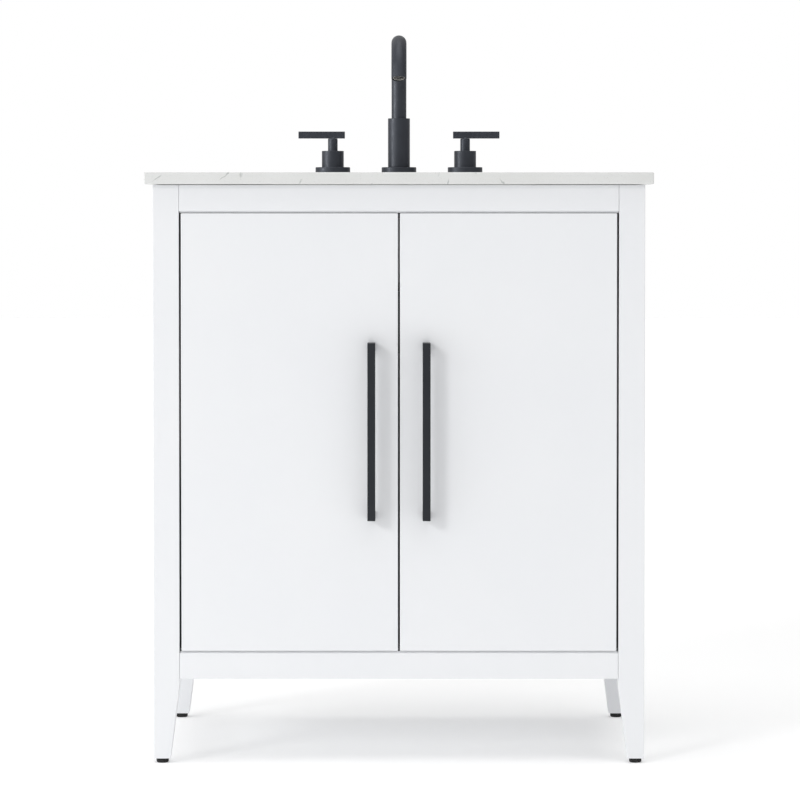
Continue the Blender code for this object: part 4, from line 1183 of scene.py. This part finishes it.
def screw_mesh():
    """A domed head with a cross recess, drawn on z = 0 and facing +Z."""
    head = turn([
        (0, -GAP), (SCREW_RADIUS, -GAP), *dome(SCREW_RADIUS, SCREW_HEIGHT, 0.0, 5),
    ], SCREW_STEPS)
    for long_axis in (Vector((1, 0, 0)), Vector((0, 1, 0))):
        short_axis = Vector((long_axis.y, long_axis.x, 0))
        half = long_axis * SCREW_RADIUS * CROSS_LENGTH + short_axis * SCREW_RADIUS * CROSS_WIDTH
        head = combine(head, slab(-half + Vector((0, 0, SCREW_HEIGHT * CROSS_FLOOR)),
                                  half + Vector((0, 0, SCREW_HEIGHT * 2))))
    mesh = bpy.data.meshes.new("screw_head")
    bmesh.ops.recalc_face_normals(head, faces=head.faces)
    head.to_mesh(mesh)
    head.free()
    return mesh


SCREW_HEAD = screw_mesh()


def stamp(bm, place, heading):
    """Adds a screw head to a shape."""
    before = len(bm.verts)
    bm.from_mesh(SCREW_HEAD)
    bm.verts.ensure_lookup_table()
    bmesh.ops.transform(bm, matrix=facing(place, heading), verts=bm.verts[before:])
    return bm


print(f"A screw head of {len(SCREW_HEAD.polygons)} faces")

# %% Hinge cups
CUP_WALL = 0.0012
CUP_RIM_RADIUS = 0.0190
CUP_RIM_THICKNESS = 0.0012
CUP_EDGE = 0.0003
WING_HALF_WIDTH = 0.007
WING_CORNER = 0.004
WING_SCREW = 0.0238

door_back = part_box("door_left")[1].y
for level, side in HINGES:
    node = f"hinge_cup_{level}_{side}"
    low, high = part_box(node)
    centre = middle_of(node)
    wing_reach = (high.z - low.z) / 2
    face = high.y
    rim_base = face - CUP_RIM_THICKNESS
    inner = CUP_RADIUS - CUP_WALL
    cup = turn([
        (0, low.y), (CUP_RADIUS, low.y),
        (CUP_RADIUS, rim_base), (CUP_RIM_RADIUS, rim_base),
        (CUP_RIM_RADIUS, face - CUP_EDGE), (CUP_RIM_RADIUS - CUP_EDGE, face),
        (inner + CUP_EDGE, face), (inner, face - CUP_EDGE),
        (inner, low.y + CUP_WALL), (0, low.y + CUP_WALL),
    ], BORE_STEPS)
    wing_z = (rim_base + GAP, face - CUP_EDGE)
    wings = round_block(WING_HALF_WIDTH, wing_reach, WING_CORNER, *wing_z)
    hollow = rod((CUP_RIM_RADIUS + CUP_RADIUS) / 2, low.y, face + CUP_WALL, BORE_STEPS)
    cup = combine(cup, combine(ease(wings, CUP_EDGE / 2, 2), hollow), "UNION")
    for direction in (-1, 1):
        stamp(cup, (0, direction * WING_SCREW, face - CUP_EDGE), (0, 0, 1))
    cup = move(cup, facing((centre.x, 0.0, centre.z), (0, 1, 0)))
    make(f"{level}_{side}_hinge_cup", cup, nickelled_steel, f"door_{side}_leaf", node)
report("Hinge cups")

# %% Hinge arms
def thicken(outline, half_thickness):
    """An outline of (x, y) points, thickened evenly about z = 0."""
    bm = bmesh.new()
    bm.faces.new([bm.verts.new((x, y, -half_thickness)) for x, y in outline])
    raise_faces(bm, 2 * half_thickness)
    bmesh.ops.recalc_face_normals(bm, faces=bm.faces)
    return bm


ARM_START = 0.0207
ARM_NOSE_LENGTH = 0.025
ARM_LENGTH = 0.074
ARM_BODY_HEIGHT = 0.0215
ARM_NOSE_HEIGHT = 0.0385
ARM_FLOOR = 0.009
ARM_HALF_WIDTH = 0.009
ARM_SLOT_HALF = 0.0062
ARM_HEEL = 0.004
ARM_NOSE_SLOPE = (0.006, 0.008)
ARM_TAIL_DROP = 0.002
ARM_SLOT_START = 0.005
ARM_SLOT_END = 0.008
ARM_EDGE = 0.0004
ARM_SCREWS = (0.010, 0.027)
PLATE_EDGE = 0.0006
PLATE_THICKNESS = 0.0022
PLATE_HALF_WIDTH = 0.024
PLATE_START = 0.048
PLATE_LENGTH = 0.036
PLATE_SCREW = 0.0165

opening_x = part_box("hinge_strip_right")[0].x
for level, side in HINGES:
    node = f"hinge_arm_{level}_{side}"
    z = middle_of(node).z
    crank = ARM_START + ARM_NOSE_LENGTH
    base = PLATE_THICKNESS + GAP
    outline = [
        (base, ARM_START + ARM_HEEL),
        (ARM_BODY_HEIGHT, ARM_START),
        (ARM_NOSE_HEIGHT, ARM_START),
        (ARM_NOSE_HEIGHT, crank - ARM_NOSE_SLOPE[0]),
        (ARM_BODY_HEIGHT, crank + ARM_NOSE_SLOPE[1]),
        (ARM_BODY_HEIGHT - ARM_TAIL_DROP, ARM_START + ARM_LENGTH),
        (base, ARM_START + ARM_LENGTH),
    ]
    arm = thicken([(-across, along) for across, along in outline], ARM_HALF_WIDTH)
    slot_end = ARM_START + ARM_LENGTH - ARM_SLOT_END
    slot = slab(
        Vector((-ARM_NOSE_HEIGHT - ARM_FLOOR, ARM_START - ARM_SLOT_START, -ARM_SLOT_HALF)),
        Vector((-ARM_FLOOR, slot_end, ARM_SLOT_HALF)),
    )
    arm = ease(combine(arm, slot), ARM_EDGE, 2)
    foot_plate = slab(Vector((-base - GAP, PLATE_START, -PLATE_HALF_WIDTH)),
                      Vector((-GAP, PLATE_START + PLATE_LENGTH, PLATE_HALF_WIDTH)))
    arm = combine(arm, ease(foot_plate, PLATE_EDGE, 2), "UNION")
    for direction in (-1, 1):
        middle = PLATE_START + PLATE_LENGTH / 2
        stamp(arm, (-base - GAP, middle, direction * PLATE_SCREW), (-1, 0, 0))
    for along in ARM_SCREWS:
        stamp(arm, (-ARM_FLOOR, PLATE_START + along, 0), (-1, 0, 0))
    flip = Matrix.Diagonal((SIDES[side], 1, 1, 1))
    place = Matrix.Translation((SIDES[side] * opening_x, door_low.y, z)) @ flip
    make(f"{level}_{side}_hinge_arm", move(arm, place), nickelled_steel, "cabinet", node)
report("Hinge arms")

# %% Hinge links
LINK_HALF_WIDTH = 0.0055
LINK_HALF_THICKNESS = 0.0015
LINK_ELBOW = 0.0135
LINK_REACH = 0.058
LINK_ANGLE = math.radians(18.5)
LINK_PIVOT_ACROSS = 0.0240
LINK_PIVOT_DEPTH = 0.0100
PIN_RADIUS = 0.0022
LINK_EDGE = 0.0005

for level, side in HINGES:
    node = f"hinge_link_{level}_{side}"
    z = middle_of(node).z
    half = LINK_HALF_THICKNESS
    link = ease(thicken([
        (-half, -half), (LINK_ELBOW + half, -half), (LINK_ELBOW + half, LINK_REACH),
        (LINK_ELBOW - half, LINK_REACH), (LINK_ELBOW - half, half), (-half, half),
    ], LINK_HALF_WIDTH), LINK_EDGE, 2)
    pin = rod(PIN_RADIUS, -LINK_HALF_WIDTH - GAP, LINK_HALF_WIDTH + GAP, SCREW_STEPS)
    link = combine(link, pin, "UNION")
    turned_link = Matrix.Diagonal((-SIDES[side], 1, 1, 1)) @ Matrix.Rotation(LINK_ANGLE, 4, "Z")
    pivot_x = SIDES[side] * (opening_x - LINK_PIVOT_ACROSS)
    place = Matrix.Translation((pivot_x, door_low.y + LINK_PIVOT_DEPTH, z))
    link = move(link, place @ turned_link)
    make(f"{level}_{side}_hinge_link", link, nickelled_steel, f"links_{side}", node)
report("Hinge links")

# %% [markdown]
# ## Feet and screws
#
# Each levelling foot is a rubber pad on a threaded stem. Two screws hold each pull, and their
# heads show on the backs of the doors.

# %% Levelling feet
FOOT_SHOULDER = 0.0016
FOOT_CHAMFER = 0.0012
FOOT_SOLE = 0.0004
FOOT_EDGE = 0.0005
STEM_PITCH = 0.00125
STEM_THREAD = 0.0005

for end, side in CORNERS:
    node = f"foot_{end}_{side}"
    low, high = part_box(node)
    place = middle_of(node).xy
    radius = (high.x - low.x) / 2
    pad_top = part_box(f"leg_{end}_{side}")[0].z - GAP
    pad = ease(turn([
        (0, 0), (radius - FOOT_CHAMFER, 0), (radius, FOOT_SHOULDER + FOOT_SOLE),
        (radius, pad_top), (STEM_RADIUS, pad_top), (0, pad_top),
    ], BORE_STEPS), FOOT_EDGE, 3)
    body = f"{end}_{side}_foot"
    make(f"{end}_{side}_foot_pad", shift(pad, *place), black_rubber, body, node)
    turns = thread(STEM_RADIUS, pad_top, high.z, STEM_PITCH, STEM_THREAD)
    stem = turn([(0, pad_top), *turns, (0, high.z)], SCREW_STEPS)
    make(f"{end}_{side}_foot_stem", shift(stem, *place), nickelled_steel, body)
report("Feet")

# %% Pull screws
for side in SIDES:
    low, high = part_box(f"pull_{side}")
    middle_x = middle_of(f"pull_{side}").x
    for end, z in (("lower", low.z + POST_HEIGHT / 2), ("upper", high.z - POST_HEIGHT / 2)):
        head = stamp(bmesh.new(), (middle_x, door_back + GAP, z), (0, 1, 0))
        make(f"{side}_pull_{end}_screw", head, nickelled_steel, f"door_{side}_leaf")
report("Pull screws")
